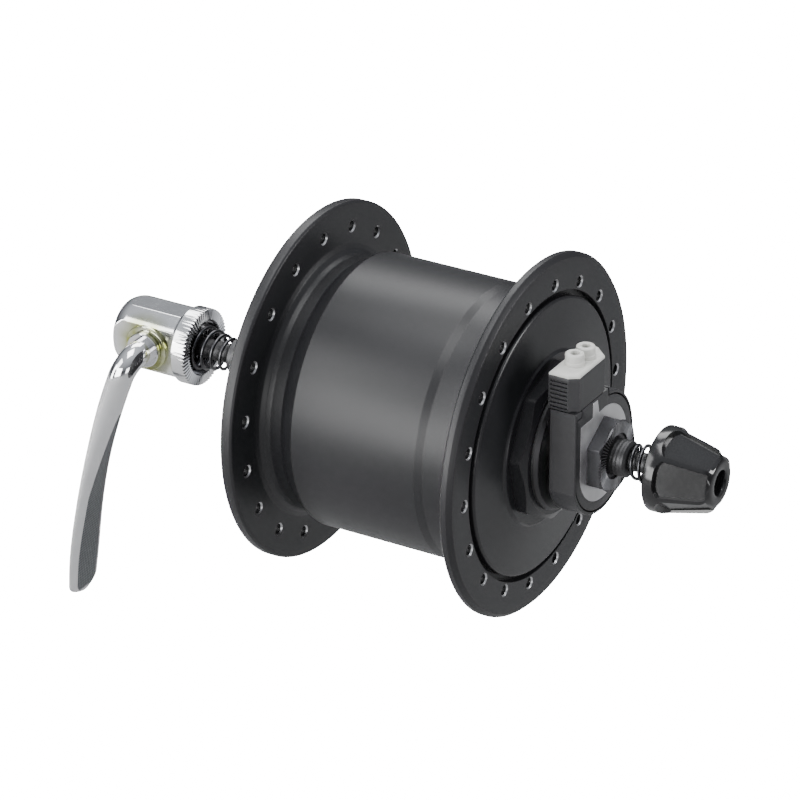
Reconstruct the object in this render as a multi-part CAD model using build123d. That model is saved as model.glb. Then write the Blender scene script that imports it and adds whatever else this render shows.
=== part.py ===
from build123d import *
from math import cos, degrees, pi, radians, sin, sqrt, tan
import os

# Hub dynamo for a front wheel: a claw-pole generator between a hollow axle and a
# turning hub shell, with a two-wire plug and a quick release through the axle.
# Millimetres. The origin is the middle of the axle, halfway between the fork faces.
# +Y is the lever side, -Y the plug side, +X forward and +Z up.

# Axle, and the width of the fork that it fits
over_locknuts = 100.0
axle_d = 9.0
axle_left_proud = 7.0
axle_right_proud = 4.0
axle_bore_d = 5.6
axle_end_chamfer = 0.6
lead_groove_w = 1.5
lead_groove_depth = 1.1

# Clearances
thread_gap = 0.02
press_gap = 0.02
running_gap = 0.05
body_gap = 0.3
cut_extra = 1.0
touch = 0.01

# Hub shell
barrel_d = 68.7
flange_h = 10.65
left_flange_y = 33.0
left_flange_t = 3.2
left_rim_chamfer = 0.5
right_flange_y = -29.8
right_flange_t = 3.0
right_rim_chamfer = 1.1
barrel_left_y = 19.7
band_step = 0.5
band_left_y = -16.0
band_slope_l = 2.0
neck_step = 2.55
neck_slope_l = 4.2
left_flange_blend = 2.6
right_flange_blend = 2.4
shell_wall = 1.65
shell_bore_left_y = 18.5
shell_web_t = 8.5
shell_web_slope_l = 4.0
shell_web_slope_d = 6.4
left_boss_d = 34.6
left_boss_l = 2.6
left_boss_chamfer = 0.6
cap_groove = 1.45
cap_recess_depth = 2.2
spoke_count = 18
left_spoke_edge = 6.4
right_spoke_edge = 7.0
spoke_hole_d = 2.6
left_spoke_turn = 12.0
right_spoke_turn = 2.0

# End cap on the plug side, with its eight-sided grip for a spanner
cap_rim_step = 0.2
cap_proud = 0.6
cap_edge_chamfer = 0.35
cap_dish = 0.7
cap_thread_l = 6.0
cap_wall = 3.2
cap_web_y = -24.6
seat_d = 43.7
seat_h = 0.6
octagon_sides = 8
octagon_turn = 7.0
octagon_corner_d = 40.4
octagon_h = 3.9
octagon_face_d = 35.6
octagon_bevel_angle = 30.0

# Ball bearings
ball_d = 4.7625
ball_count = 8
ball_sides = 8
ball_circle_d = 21.2
bearing_y = 31.0
race_gap = 0.05
race_angle = 45.0
cup_d = 29.0
cup_inner_l = 3.5
cup_outer_l = 3.2
cup_lip_d = 22.0
cone_body_d = 16.0
cone_collar_d = 18.6
cone_collar_l = 1.2
cone_tip_d = 13.6
cone_tip_l = 5.0
cone_inner_l = 8.0
cage_ring_t = 0.7
cage_finger_w = 1.5
cage_finger_t = 1.2
cage_finger_l = 3.4
seal_t = 1.6
seal_lip = 0.7
left_seal_d = 32.0
right_seal_d = 33.2

# Generator: iron claws round one coil, and magnets in the shell
stator_w = 27.0
claw_count = 14
claw_disc_t = 1.9
claw_t = 2.2
claw_root_share = 0.6
claw_tip_share = 0.28
air_gap = 0.5
core_d = 19.0
bobbin_flange_t = 1.0
bobbin_wall = 1.0
bobbin_clear = 1.16
winding_inset = 1.2
magnet_t = 2.65
magnet_count = 4
magnet_split = 1.0
yoke_t = 1.65
spacer_d = 13.0
stator_nut_w = 14.0
stator_nut_t = 4.0
lead_d = 0.9

# Locknuts
locknut_w = 17.0
locknut_t = 3.7
locknut_face_d = 17.4
locknut_bevel_angle = 30.0
locknut_turn = 30.0
washer_d = 15.6
washer_t = 1.2
hex_sides = 6

# Terminal housing, fixed on the axle
housing_d = 30.8
housing_t = 7.0
housing_wall_x = -14.4
housing_shelf_x = 2.9
housing_shelf_z = 16.2
panel_t = 2.4
panel_seam = 0.35
panel_d = 28.6
panel_wall_x = -13.65
panel_step_z = 14.2
panel_tall_x = -11.3
panel_right_x = 2.0
plate_d = 24.1
plate_t = 0.6
plate_wall_x = -11.8
plate_top_z = 11.8
plate_tab_x = -5.8
plate_tab_w = 2.5
plate_slit_w = 1.0
blade_w = 2.6
blade_t = 0.7
blade_top_z = 21.5
blade_foot = 8.0

# Plug with its cap and wire insert
plug_gap = 0.2
plug_h = 8.8
plug_rear_overhang = 0.4
plug_left_bevel_x = 1.5
plug_left_bevel_y = 2.2
plug_right_bevel_x = 3.3
plug_right_bevel_y = 3.5
plug_wall = 1.7
plug_rib_count = 7
plug_rib_pitch = 1.1
plug_rib_depth = 0.5
plug_rib_width_share = 0.55
plug_panel_w = 4.5
plug_panel_inset = 2.6
plug_panel_z = 0.6
insert_top_t = 0.9
insert_corner = 0.5
collar_d = 4.9
collar_h = 2.9
wire_hole_d = 2.0
left_wire_x = -8.2
left_wire_y = -42.4
right_wire_x = -3.5
right_wire_y = -42.8
insert_gap = 0.15
insert_foot_gap = 1.4
blade_slot_gap = 0.35

# Quick release: rod, springs and nut
rod_d = 5.0
rod_right_y = -75.0
nut_base_y = -61.6
nut_length = 15.7
nut_base_d = 21.0
nut_base_band = 2.8
nut_tip_d = 15.6
nut_tip_bevel = 1.4
nut_tip_face_d = 10.4
nut_hole_d = 6.0
nut_recess_d = 14.6
nut_recess_depth = 5.0
nut_panel_count = 6
nut_panel_depth = 1.3
nut_panel_base_w = 8.2
nut_panel_tip_w = 5.6
nut_panel_turn = 12.0
nut_insert_d = 9.6
nut_insert_l = 7.6
nut_insert_gap = 0.02
spring_wire_d = 0.9
spring_small_d = 7.5
spring_big_d = 12.3
spring_turns = 5
spring_sides = 4
spring_marks = 24
spring_seat_gap = 0.05

# Cam housing and lever
pivot_y = 78.0
cam_throw = 1.0
cam_d = 6.0
shaft_big_d = 8.0
shaft_small_d = 3.6
cam_slack = 0.3
eye_wall_y = 1.6
eye_wall_z = 1.3
cavity_w = 5.6
cavity_h = 12.2
cavity_end_gap = 0.5
grip_face_y = 65.3
grip_face_d = 19.8
grip_rim_t = 4.2
grip_recess_d = 14.1
grip_recess_depth = 4.5
barrel_grip_d = 18.2
barrel_flat_z = 8.5
barrel_flat_x = 7.0
barrel_past_pivot = 7.5
barrel_dome_h = 3.8
barrel_tip_h = 1.3
barrel_end_d = 9.0
barrel_mid_d = 15.4
side_boss_d = 11.8
side_boss_h = 0.9
lever_collar_d = 9.0
lever_collar_l = 1.4
lever_shaft_d = 6.5
lever_arm_x = -16.5
lever_bend_r = 5.0
lever_lean_top = 21.5
lever_lean_tip = 4.0
lever_arm_l = 66.5
lever_sides = 12
lever_place_shares = (0.0, 0.14, 0.36, 0.62, 0.85, 0.95, 1.0)
lever_widths = (6.5, 7.0, 9.0, 11.6, 12.8, 11.8, 8.4)
lever_offsets = (0.0, 0.1, 0.5, 0.9, 1.1, 1.1, 0.9)
lever_thicknesses = (6.5, 6.3, 5.2, 4.0, 3.5, 3.1, 2.2)
lever_flat_reach_share = 1.1
lever_flat_top_share = 0.13
lever_flat_mid_share = 0.55
lever_flat_top = 3.2
lever_flat_mid = 1.5
lever_flat_tip = 0.9
lever_nut_d = 7.0
lever_nut_t = 2.2
lever_nut_bevel = 0.7

# Sizes that follow from those above
fork_y = over_locknuts / 2
axle_r = axle_d / 2
left_end_y = fork_y + axle_left_proud
right_end_y = -fork_y - axle_right_proud
ball_r = ball_d / 2
race_r = ball_r + race_gap
ball_circle_r = ball_circle_d / 2
housing_front_y = -fork_y + locknut_t
housing_back_y = housing_front_y + housing_t
plug_z = housing_shelf_z + plug_gap
plug_top_z = plug_z + plug_h
flange_d = barrel_d + 2 * flange_h
flange_r = flange_d / 2
band_r = barrel_d / 2 - band_step
neck_r = barrel_d / 2 - neck_step
shell_bore_r = barrel_d / 2 - shell_wall
cap_r = barrel_d / 2 + cap_rim_step
cap_recess_r = cap_r + cap_groove
yoke_r = shell_bore_r - press_gap
magnet_r = yoke_r - yoke_t - press_gap
claw_r = magnet_r - magnet_t - air_gap
bobbin_r = claw_r - claw_t - bobbin_clear
winding_r = bobbin_r - winding_inset
cap_face_y = right_flange_y - cap_proud
seat_y = cap_face_y - cap_dish - seat_h
octagon_y = seat_y - octagon_h
left_boss_y = left_flange_y + left_boss_l
eye_y = pivot_y + cam_throw
barrel_shoulder_y = pivot_y + barrel_past_pivot
barrel_end_y = barrel_shoulder_y + barrel_dome_h
barrel_mid_y = barrel_end_y - barrel_tip_h
eye_slot_y = cam_d / 2 + cam_slack
eye_slot_z = cam_d / 2 + cam_throw + cam_slack
grip_floor_y = grip_face_y + grip_recess_depth
nut_floor_y = nut_base_y - nut_recess_depth
nut_tip_y = nut_base_y - nut_length


def station(y):
    """Plane square to the axle at y, with local x along X and local y along Z."""
    return Plane(origin=(0, y, 0), x_dir=(1, 0, 0), z_dir=(0, -1, 0))


def turned(*points):
    """Solid of revolution about the axle from its half outline of (y, radius)."""
    outline = Polyline(*[(radius, y) for y, radius in points], close=True)
    return revolve(make_face(outline), Axis.Y)


def tube(y_start, y_end, outer_r, inner_r):
    """Plain round sleeve on the axle's line."""
    return turned((y_start, inner_r), (y_start, outer_r), (y_end, outer_r), (y_end, inner_r))


def slab(sketch, y_start, y_end):
    """Prism of a sketch in X and Z, between two places along the axle."""
    return extrude(station(y_start) * sketch, amount=y_start - y_end)


def peg(x_start, x_end, y, radius):
    """Round pin along X at height zero."""
    side = Plane(origin=(x_start, y, 0), x_dir=(0, 1, 0), z_dir=(1, 0, 0))
    return extrude(side * Circle(radius), amount=x_end - x_start)


def block(x_pair, y_pair, z_pair):
    """Box between two places on each axis."""
    size = [abs(pair[1] - pair[0]) for pair in (x_pair, y_pair, z_pair)]
    middle = [(pair[0] + pair[1]) / 2 for pair in (x_pair, y_pair, z_pair)]
    return Pos(*middle) * Box(*size)


def rims(part, y, radius):
    """Circular edges of a turned part at one place along the axle."""
    circles = part.edges().filter_by(GeomType.CIRCLE)
    near = [e for e in circles if abs(e.arc_center.Y - y) < touch]
    return [e for e in near if abs(e.radius - radius) < touch]


def spanner_ring(sides, corner_r, y_start, y_end, face_r, bevel_angle, turn, hole_r):
    """Nut-like ring whose corners are bevelled on the face at y_end."""
    away = 1 if y_end > y_start else -1
    bevel_l = (corner_r - face_r) * tan(radians(bevel_angle))
    prism = slab(RegularPolygon(corner_r, sides, rotation=turn), y_start, y_end)
    cone = turned(
        (y_start, hole_r), (y_start, corner_r), (y_end - away * bevel_l, corner_r),
        (y_end, face_r), (y_end, hole_r))
    return prism & cone


def axle():
    tube_r = axle_bore_d / 2
    body = tube(right_end_y, left_end_y, axle_r, tube_r)
    for end_y in (right_end_y, left_end_y):
        body = chamfer(rims(body, end_y, axle_r), axle_end_chamfer)
    groove = block(
        (-lead_groove_w / 2, lead_groove_w / 2),
        (housing_front_y + panel_t, stator_w / 2 - claw_disc_t),
        (axle_r - lead_groove_depth, axle_r + cut_extra))
    return body - groove


def bearing_cone(side):
    """Inner race on the axle, with the collar that the balls run against."""
    inner_r = axle_r + thread_gap
    reach = race_r / cos(radians(race_angle))
    track_r = ball_circle_r - race_r
    rise_y = bearing_y + reach - race_r
    collar_y = rise_y + cone_collar_d / 2 - track_r
    outer_y = housing_back_y if side < 0 else fork_y - locknut_t - washer_t
    points = (
        (bearing_y - cone_inner_l, inner_r), (bearing_y - cone_inner_l, cone_tip_d / 2),
        (bearing_y - cone_inner_l + cone_tip_l, track_r), (rise_y, track_r),
        (collar_y, cone_collar_d / 2), (collar_y + cone_collar_l, cone_collar_d / 2),
        (collar_y + cone_collar_l, cone_body_d / 2), (abs(outer_y), cone_body_d / 2),
        (abs(outer_y), inner_r))
    return turned(*[(side * y, radius) for y, radius in points])


def bearing_cup(side):
    """Outer race, pressed into the shell or its end cap."""
    reach = race_r / cos(radians(race_angle))
    track_r = ball_circle_r + race_r
    drop_y = bearing_y - reach + race_r
    lip_r = cup_lip_d / 2
    points = (
        (bearing_y - cup_inner_l, cup_d / 2 - press_gap), (bearing_y - cup_inner_l, lip_r),
        (drop_y - track_r + lip_r, lip_r), (drop_y, track_r),
        (bearing_y + cup_outer_l, track_r), (bearing_y + cup_outer_l, cup_d / 2 - press_gap))
    return turned(*[(side * y, radius) for y, radius in points])


def bearing_balls(side):
    """Loose balls, each with flat faces whose corners lie on the sphere."""
    half_face = tan(pi / ball_sides)
    flat_r = ball_r / sqrt(1 + 2 * half_face * half_face)
    octagon = RegularPolygon(flat_r, ball_sides, major_radius=False, rotation=180 / ball_sides)
    ball = extrude(Plane.XY * octagon, amount=flat_r, both=True)
    ball &= extrude(Plane.XZ * octagon, amount=flat_r, both=True)
    ball &= extrude(Plane.YZ * octagon, amount=flat_r, both=True)
    ball = Pos(ball_circle_r, side * bearing_y, 0) * ball
    return Compound(children=[ball.rotate(Axis.Y, 360 * k / ball_count) for k in range(ball_count)])


def bearing_cage(side):
    """Ring beside the balls, with a finger between each two."""
    ring_start = bearing_y - ball_r - running_gap
    ring_r = cup_lip_d / 2 - body_gap
    bore_r = ball_circle_r - race_r + body_gap
    cage = tube(side * ring_start, side * (ring_start - cage_ring_t), ring_r, bore_r)
    finger = block(
        (ring_r - cage_finger_t, ring_r),
        (side * (ring_start - cage_ring_t), side * (ring_start + cage_finger_l)),
        (-cage_finger_w / 2, cage_finger_w / 2))
    for k in range(ball_count):
        cage += finger.rotate(Axis.Y, 360 * (k + 0.5) / ball_count)
    return cage


def dust_seal(side, inner_y, seal_d):
    """Dished shield whose lip runs round the cone."""
    lip_r = cone_body_d / 2 + body_gap
    points = (
        (inner_y + side * running_gap, cup_d / 2 - cap_wall / 2), (inner_y + side * running_gap, seal_d / 2),
        (inner_y + side * seal_t / 2, seal_d / 2), (inner_y + side * seal_t, seal_d / 2 - seal_lip),
        (inner_y + side * seal_t, lip_r), (inner_y + side * seal_t / 2, lip_r))
    return turned(*points)


def hub_shell():
    left_inner_y = left_flange_y - left_flange_t
    right_inner_y = right_flange_y + right_flange_t
    neck_y = barrel_left_y + neck_slope_l
    web_y = left_flange_y - shell_web_t
    bore_r = shell_bore_r
    body = turned(
        (right_flange_y, cap_recess_r), (right_flange_y, flange_r),
        (right_inner_y, flange_r), (right_inner_y, band_r),
        (band_left_y, band_r), (band_left_y + band_slope_l, barrel_d / 2),
        (barrel_left_y, barrel_d / 2), (neck_y, neck_r),
        (left_inner_y, neck_r), (left_inner_y, flange_r),
        (left_flange_y, flange_r), (left_flange_y, left_boss_d / 2),
        (left_boss_y, left_boss_d / 2), (left_boss_y, cup_d / 2),
        (bearing_y - cup_inner_l, cup_d / 2), (bearing_y - cup_inner_l, cup_lip_d / 2),
        (web_y, cup_lip_d / 2), (web_y, bore_r - shell_web_slope_d / 2),
        (shell_bore_left_y + shell_web_slope_l, bore_r - shell_web_slope_d / 2),
        (shell_bore_left_y, bore_r), (right_flange_y + cap_recess_depth, bore_r),
        (right_flange_y + cap_recess_depth, cap_recess_r))
    body = chamfer(rims(body, right_inner_y, band_r), right_flange_blend)
    body = chamfer(rims(body, left_inner_y, neck_r), left_flange_blend)
    body = chamfer(rims(body, right_flange_y, flange_r), right_rim_chamfer)
    for rim_y in (left_inner_y, left_flange_y, right_inner_y):
        body = chamfer(rims(body, rim_y, flange_r), left_rim_chamfer)
    body = chamfer(rims(body, left_boss_y, left_boss_d / 2), left_boss_chamfer)
    hole_sets = (
        (left_flange_y + cut_extra, left_inner_y - cut_extra, left_spoke_turn, left_spoke_edge),
        (right_inner_y + cut_extra, right_flange_y - cut_extra, right_spoke_turn, right_spoke_edge))
    for start_y, end_y, turn, edge in hole_sets:
        places = PolarLocations(flange_r - edge, spoke_count, turn)
        holes = Sketch() + places * Circle(spoke_hole_d / 2)
        body -= slab(holes, start_y, end_y)
    return body


def end_cap():
    spigot_r = shell_bore_r - thread_gap
    back_y = right_flange_y + cap_recess_depth - press_gap
    disc_y = seat_y + seat_h
    body = turned(
        (back_y + cap_thread_l, spigot_r - cap_wall), (back_y + cap_thread_l, spigot_r),
        (back_y, spigot_r), (back_y, cap_r), (cap_face_y + cap_edge_chamfer, cap_r),
        (cap_face_y, cap_r - cap_edge_chamfer), (disc_y, seat_d / 2),
        (seat_y, seat_d / 2 - seat_h), (seat_y, cup_d / 2), (-bearing_y + cup_inner_l, cup_d / 2),
        (-bearing_y + cup_inner_l, cup_lip_d / 2), (cap_web_y, cup_lip_d / 2),
        (cap_web_y, spigot_r - cap_wall))
    grip = spanner_ring(
        octagon_sides, octagon_corner_d / 2, seat_y + seat_h, octagon_y, octagon_face_d / 2,
        octagon_bevel_angle, octagon_turn, cup_d / 2)
    return body + grip


def magnet_yoke():
    return tube(-stator_w / 2, stator_w / 2, yoke_r, yoke_r - yoke_t)


def magnets():
    """Arc magnets with a small gap between their ends."""
    ring = tube(-stator_w / 2, stator_w / 2, magnet_r, magnet_r - magnet_t)
    for k in range(magnet_count // 2):
        split = block((-flange_d, flange_d), (-stator_w, stator_w), (-magnet_split / 2, magnet_split / 2))
        ring -= split.rotate(Axis.Y, 360 * k / magnet_count)
    return ring


def claw_pole(side):
    """Iron disc with claws that reach over the coil to the other side."""
    disc_y = stator_w / 2
    inner_y = disc_y - claw_disc_t
    body = tube(side * disc_y, side * inner_y, claw_r, axle_r + thread_gap)
    pitch = 2 * pi * claw_r / claw_count
    root = claw_root_share * pitch / 2
    tip = claw_tip_share * pitch / 2
    tip_y = side * (-inner_y + body_gap)
    face = Plane(origin=(0, 0, 0), x_dir=(1, 0, 0), z_dir=(0, 0, 1))
    outline = Polyline(
        (-root, side * inner_y), (root, side * inner_y), (tip, tip_y), (-tip, tip_y), close=True)
    claw = extrude(face * make_face(outline), amount=claw_r + cut_extra)
    claw = claw & tube(side * disc_y, tip_y, claw_r, claw_r - claw_t)
    claw = claw & block((-pitch, pitch), (-stator_w, stator_w), (0, claw_r))
    offset = 0 if side > 0 else 0.5
    for k in range(claw_count):
        body += claw.rotate(Axis.Y, 360 * (k + offset) / claw_count)
    return body


def stator_core():
    half = stator_w / 2 - claw_disc_t
    return tube(-half, half, core_d / 2, axle_r + thread_gap)


def bobbin_half():
    return stator_w / 2 - claw_disc_t - press_gap


def coil_bobbin():
    half = bobbin_half()
    inner_r = core_d / 2 + press_gap
    drum_r = inner_r + bobbin_wall
    flange_y = half - bobbin_flange_t
    return turned(
        (-half, inner_r), (-half, bobbin_r), (-flange_y, bobbin_r), (-flange_y, drum_r),
        (flange_y, drum_r), (flange_y, bobbin_r), (half, bobbin_r), (half, inner_r))


def coil_winding():
    half = bobbin_half() - bobbin_flange_t - press_gap
    drum_r = core_d / 2 + press_gap + bobbin_wall
    return tube(-half, half, winding_r, drum_r + press_gap)


def left_spacer():
    return tube(stator_w / 2, bearing_y - cone_inner_l, spacer_d / 2, axle_r + thread_gap)


def stator_nut():
    corner_r = stator_nut_w / 2 / cos(pi / hex_sides)
    return spanner_ring(
        hex_sides, corner_r, -stator_w / 2, -stator_w / 2 - stator_nut_t, stator_nut_w / 2,
        locknut_bevel_angle, 0, axle_r + thread_gap)


def coil_lead():
    """Wire along the axle's groove, and up inside the terminal housing."""
    wire_z = axle_r - lead_groove_depth + lead_d / 2 + press_gap
    start_y = -stator_w / 2 - claw_disc_t
    turn_y = (housing_back_y + housing_front_y + panel_t) / 2
    path = FilletPolyline(
        (0, start_y, wire_z), (0, turn_y, wire_z), (0, turn_y, housing_shelf_z - blade_foot),
        radius=lead_d)
    return sweep(station(start_y) * Pos(0, wire_z) * RegularPolygon(lead_d / 2, hex_sides), path=path)


def locknut(side):
    corner_r = locknut_w / 2 / cos(pi / hex_sides)
    return spanner_ring(
        hex_sides, corner_r, side * (fork_y - locknut_t), side * fork_y, locknut_face_d / 2,
        locknut_bevel_angle, locknut_turn, axle_r + thread_gap)


def left_washer():
    start_y = fork_y - locknut_t - washer_t
    return tube(start_y, start_y + washer_t, washer_d / 2, axle_r + thread_gap)


def round_with_shelf(round_d, wall_x, shelf_x, shelf_z):
    """Disc with a straight left wall and a square shelf above."""
    disc = Circle(round_d / 2) & Pos(wall_x + round_d, 0) * Rectangle(2 * round_d, 2 * round_d)
    shelf = Pos((wall_x + shelf_x) / 2, shelf_z / 2) * Rectangle(shelf_x - wall_x, shelf_z)
    return disc + shelf


def panel_outline(grow, top_z):
    """Front panel: round with a low left shoulder and a tall middle."""
    low = round_with_shelf(panel_d + 2 * grow, panel_wall_x - grow, 0, panel_step_z + grow)
    left_x = panel_tall_x - grow
    right_x = panel_right_x + grow
    return low + Pos((left_x + right_x) / 2, top_z / 2) * Rectangle(right_x - left_x, top_z)


def plate_outline(grow):
    """Ground plate: round, with a straight left edge, a top edge and a tab."""
    disc = Circle(plate_d / 2 + grow)
    corner = Pos((plate_wall_x - grow) / 2, (plate_top_z + grow) / 2)
    corner *= Rectangle(-plate_wall_x + grow, plate_top_z + grow)
    wall = Pos(plate_wall_x - grow + plate_d, 0) * Rectangle(2 * plate_d, 2 * plate_d)
    tab_top = housing_shelf_z - panel_seam - body_gap + grow
    tab = Pos(plate_tab_x + plate_tab_w / 2, tab_top / 2) * Rectangle(plate_tab_w + 2 * grow, tab_top)
    return ((disc & wall) + corner) + tab


def blade_places():
    return ((left_wire_x, left_wire_y), (right_wire_x, right_wire_y))


def terminal_housing():
    outline = round_with_shelf(housing_d, housing_wall_x, housing_shelf_x, housing_shelf_z)
    body = slab(outline, housing_back_y, housing_front_y)
    pocket = panel_outline(panel_seam, housing_shelf_z + cut_extra)
    body -= slab(pocket, housing_front_y + panel_t + press_gap, housing_front_y - cut_extra)
    body -= slab(Circle(axle_r + thread_gap), housing_back_y + cut_extra, housing_front_y)
    channel_y = (housing_back_y + housing_front_y + panel_t) / 2
    reach = lead_d + body_gap
    channel_top_z = housing_shelf_z - blade_foot + reach
    body -= block((-reach, reach), (channel_y - reach, channel_y + reach), (0, channel_top_z))
    for x, y in blade_places():
        body -= block(
            (x - blade_w / 2 - press_gap, x + blade_w / 2 + press_gap),
            (y - blade_t / 2 - press_gap, y + blade_t / 2 + press_gap),
            (channel_top_z, housing_shelf_z + cut_extra))
    return body


def terminal_panel():
    body = slab(panel_outline(0, housing_shelf_z), housing_front_y + panel_t, housing_front_y)
    body -= slab(plate_outline(press_gap), housing_front_y + plate_t + press_gap, housing_front_y - cut_extra)
    return body - slab(Circle(axle_r + thread_gap), housing_back_y, housing_front_y)


def ground_plate():
    body = slab(plate_outline(0), housing_front_y + plate_t, housing_front_y)
    return body - slab(Circle(axle_r + thread_gap), housing_back_y, housing_front_y - cut_extra)


def terminal_blades():
    foot_z = housing_shelf_z - blade_foot + lead_d + body_gap
    blades = []
    for x, y in blade_places():
        blades.append(block(
            (x - blade_w / 2, x + blade_w / 2), (y - blade_t / 2, y + blade_t / 2),
            (foot_z, blade_top_z)))
    return Compound(children=blades)


def plug_outline():
    """Plan of the plug in X and Y, with its two bevelled front corners."""
    front_y = housing_front_y
    back_y = housing_back_y + plug_rear_overhang
    left_x = housing_wall_x
    right_x = housing_shelf_x
    return make_face(Polyline(
        (left_x, back_y), (right_x, back_y), (right_x, front_y + plug_right_bevel_y),
        (right_x - plug_right_bevel_x, front_y), (left_x + plug_left_bevel_x, front_y),
        (left_x, front_y + plug_left_bevel_y), close=True))


def plug_cavity(gap):
    """Plan of the space inside the cap, smaller by the gap."""
    back_y = housing_back_y + plug_rear_overhang - plug_wall
    front_y = housing_front_y + plug_wall
    left_x = housing_wall_x + plug_wall
    right_x = housing_shelf_x - plug_right_bevel_x
    middle = Pos((left_x + right_x) / 2, (back_y + front_y) / 2)
    return middle * Rectangle(right_x - left_x - 2 * gap, back_y - front_y - 2 * gap)


def upright(sketch, z_start, z_end):
    """Prism of a sketch in X and Y, between two heights."""
    return extrude(Pos(0, 0, z_start) * sketch, amount=z_end - z_start)


def plug_cap():
    body = upright(plug_outline(), plug_z, plug_top_z)
    body -= upright(plug_cavity(0), plug_z - cut_extra, plug_top_z + cut_extra)
    panel_y = housing_back_y + plug_rear_overhang - plug_panel_inset + plug_panel_w / 2
    slot_t = plug_rib_pitch * (1 - plug_rib_width_share)
    first_z = plug_z + plug_panel_z
    for k in range(plug_rib_count):
        slot_z = first_z + k * plug_rib_pitch
        body -= block(
            (housing_wall_x - cut_extra, housing_wall_x + plug_rib_depth),
            (panel_y - plug_panel_w, panel_y), (slot_z, slot_z + slot_t))
    return body


def wire_insert():
    top_z = plug_top_z + insert_top_t
    foot_z = plug_z + insert_foot_gap
    body = upright(plug_outline(), plug_top_z, top_z)
    body = chamfer(body.faces().sort_by(Axis.Z)[-1].edges(), insert_corner)
    body += upright(plug_cavity(insert_gap), foot_z, plug_top_z)
    for x, y in blade_places():
        body += Pos(x, y, 0) * upright(Circle(collar_d / 2), plug_top_z, top_z + collar_h)
        body -= Pos(x, y, 0) * upright(Circle(wire_hole_d / 2), blade_top_z, top_z + collar_h + cut_extra)
        body -= block(
            (x - blade_w / 2 - blade_slot_gap, x + blade_w / 2 + blade_slot_gap),
            (y - blade_t / 2 - blade_slot_gap, y + blade_t / 2 + blade_slot_gap),
            (foot_z - cut_extra, blade_top_z + blade_slot_gap))
    return body


def skewer_rod():
    """Rod with a slotted eye that the cam turns in."""
    eye_plane = Plane(origin=(-rod_d / 2, eye_y, 0), x_dir=(0, 1, 0), z_dir=(1, 0, 0))
    half_y = eye_slot_y + eye_wall_y
    half_z = eye_slot_z + eye_wall_z
    rod = tube(rod_right_y, eye_y - eye_slot_y - eye_wall_y / 2, rod_d / 2, 0)
    eye = extrude(eye_plane * SlotOverall(2 * half_z, 2 * half_y, rotation=90), amount=rod_d)
    slot = extrude(eye_plane * SlotOverall(2 * eye_slot_z, 2 * eye_slot_y, rotation=90), amount=rod_d)
    return rod + eye - slot


def arc_pair(start, start_way, end, end_way):
    """Two arcs that join two points along two given directions."""
    span = end - start
    both = start_way + end_way
    spread = 2 * (1 - start_way.dot(end_way))
    along = span.dot(both)
    arm = (sqrt(along * along + spread * span.dot(span)) - along) / spread
    first_corner = start + start_way * arm
    last_corner = end - end_way * arm
    middle = (first_corner + last_corner) / 2
    middle_way = (last_corner - first_corner).normalized()
    return [TangentArc(start, middle, tangent=start_way), TangentArc(middle, end, tangent=middle_way)]


def spring_point(turn, small_y, big_y):
    """Point of the conical spring's centre line, and its direction."""
    share = turn / spring_turns
    small_r = spring_small_d / 2
    radius = small_r + (spring_big_d / 2 - small_r) * share
    angle = 2 * pi * turn
    rate = (spring_big_d / 2 - small_r) / (2 * pi * spring_turns)
    rise = (big_y - small_y) / (2 * pi * spring_turns)
    point = Vector(radius * cos(angle), small_y + (big_y - small_y) * share, radius * sin(angle))
    way = Vector(rate * cos(angle) - radius * sin(angle), rise, rate * sin(angle) + radius * cos(angle))
    return point, way.normalized()


def conical_spring(small_y, big_y):
    arcs = []
    ends = [spring_point(k / 2, small_y, big_y) for k in range(2 * spring_turns + 1)]
    for (start, start_way), (end, end_way) in zip(ends, ends[1:]):
        arcs += arc_pair(start, start_way, end, end_way)
    start, start_way = ends[0]
    section = Plane(origin=start, z_dir=start_way) * RegularPolygon(spring_wire_d / 2, spring_sides)
    return sweep(section, path=Wire(arcs))


def spring_gap(small_y, big_y):
    """Least gap between a spring's own turns, measured on points of its centre line."""
    count = spring_turns * spring_marks + 1
    points = [spring_point(k / spring_marks, small_y, big_y)[0] for k in range(count)]
    pairs = ((a, b) for k, a in enumerate(points) for b in points[k + spring_marks // 2:])
    return min((a - b).length for a, b in pairs) - spring_wire_d


def spring_ends(side):
    """Seats of a spring: the axle's end, and the floor that it pushes on."""
    gap = spring_wire_d / 2 + spring_seat_gap
    end_y = left_end_y if side > 0 else right_end_y
    floor_y = grip_floor_y if side > 0 else nut_floor_y
    return end_y + side * gap, floor_y - side * gap


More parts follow.
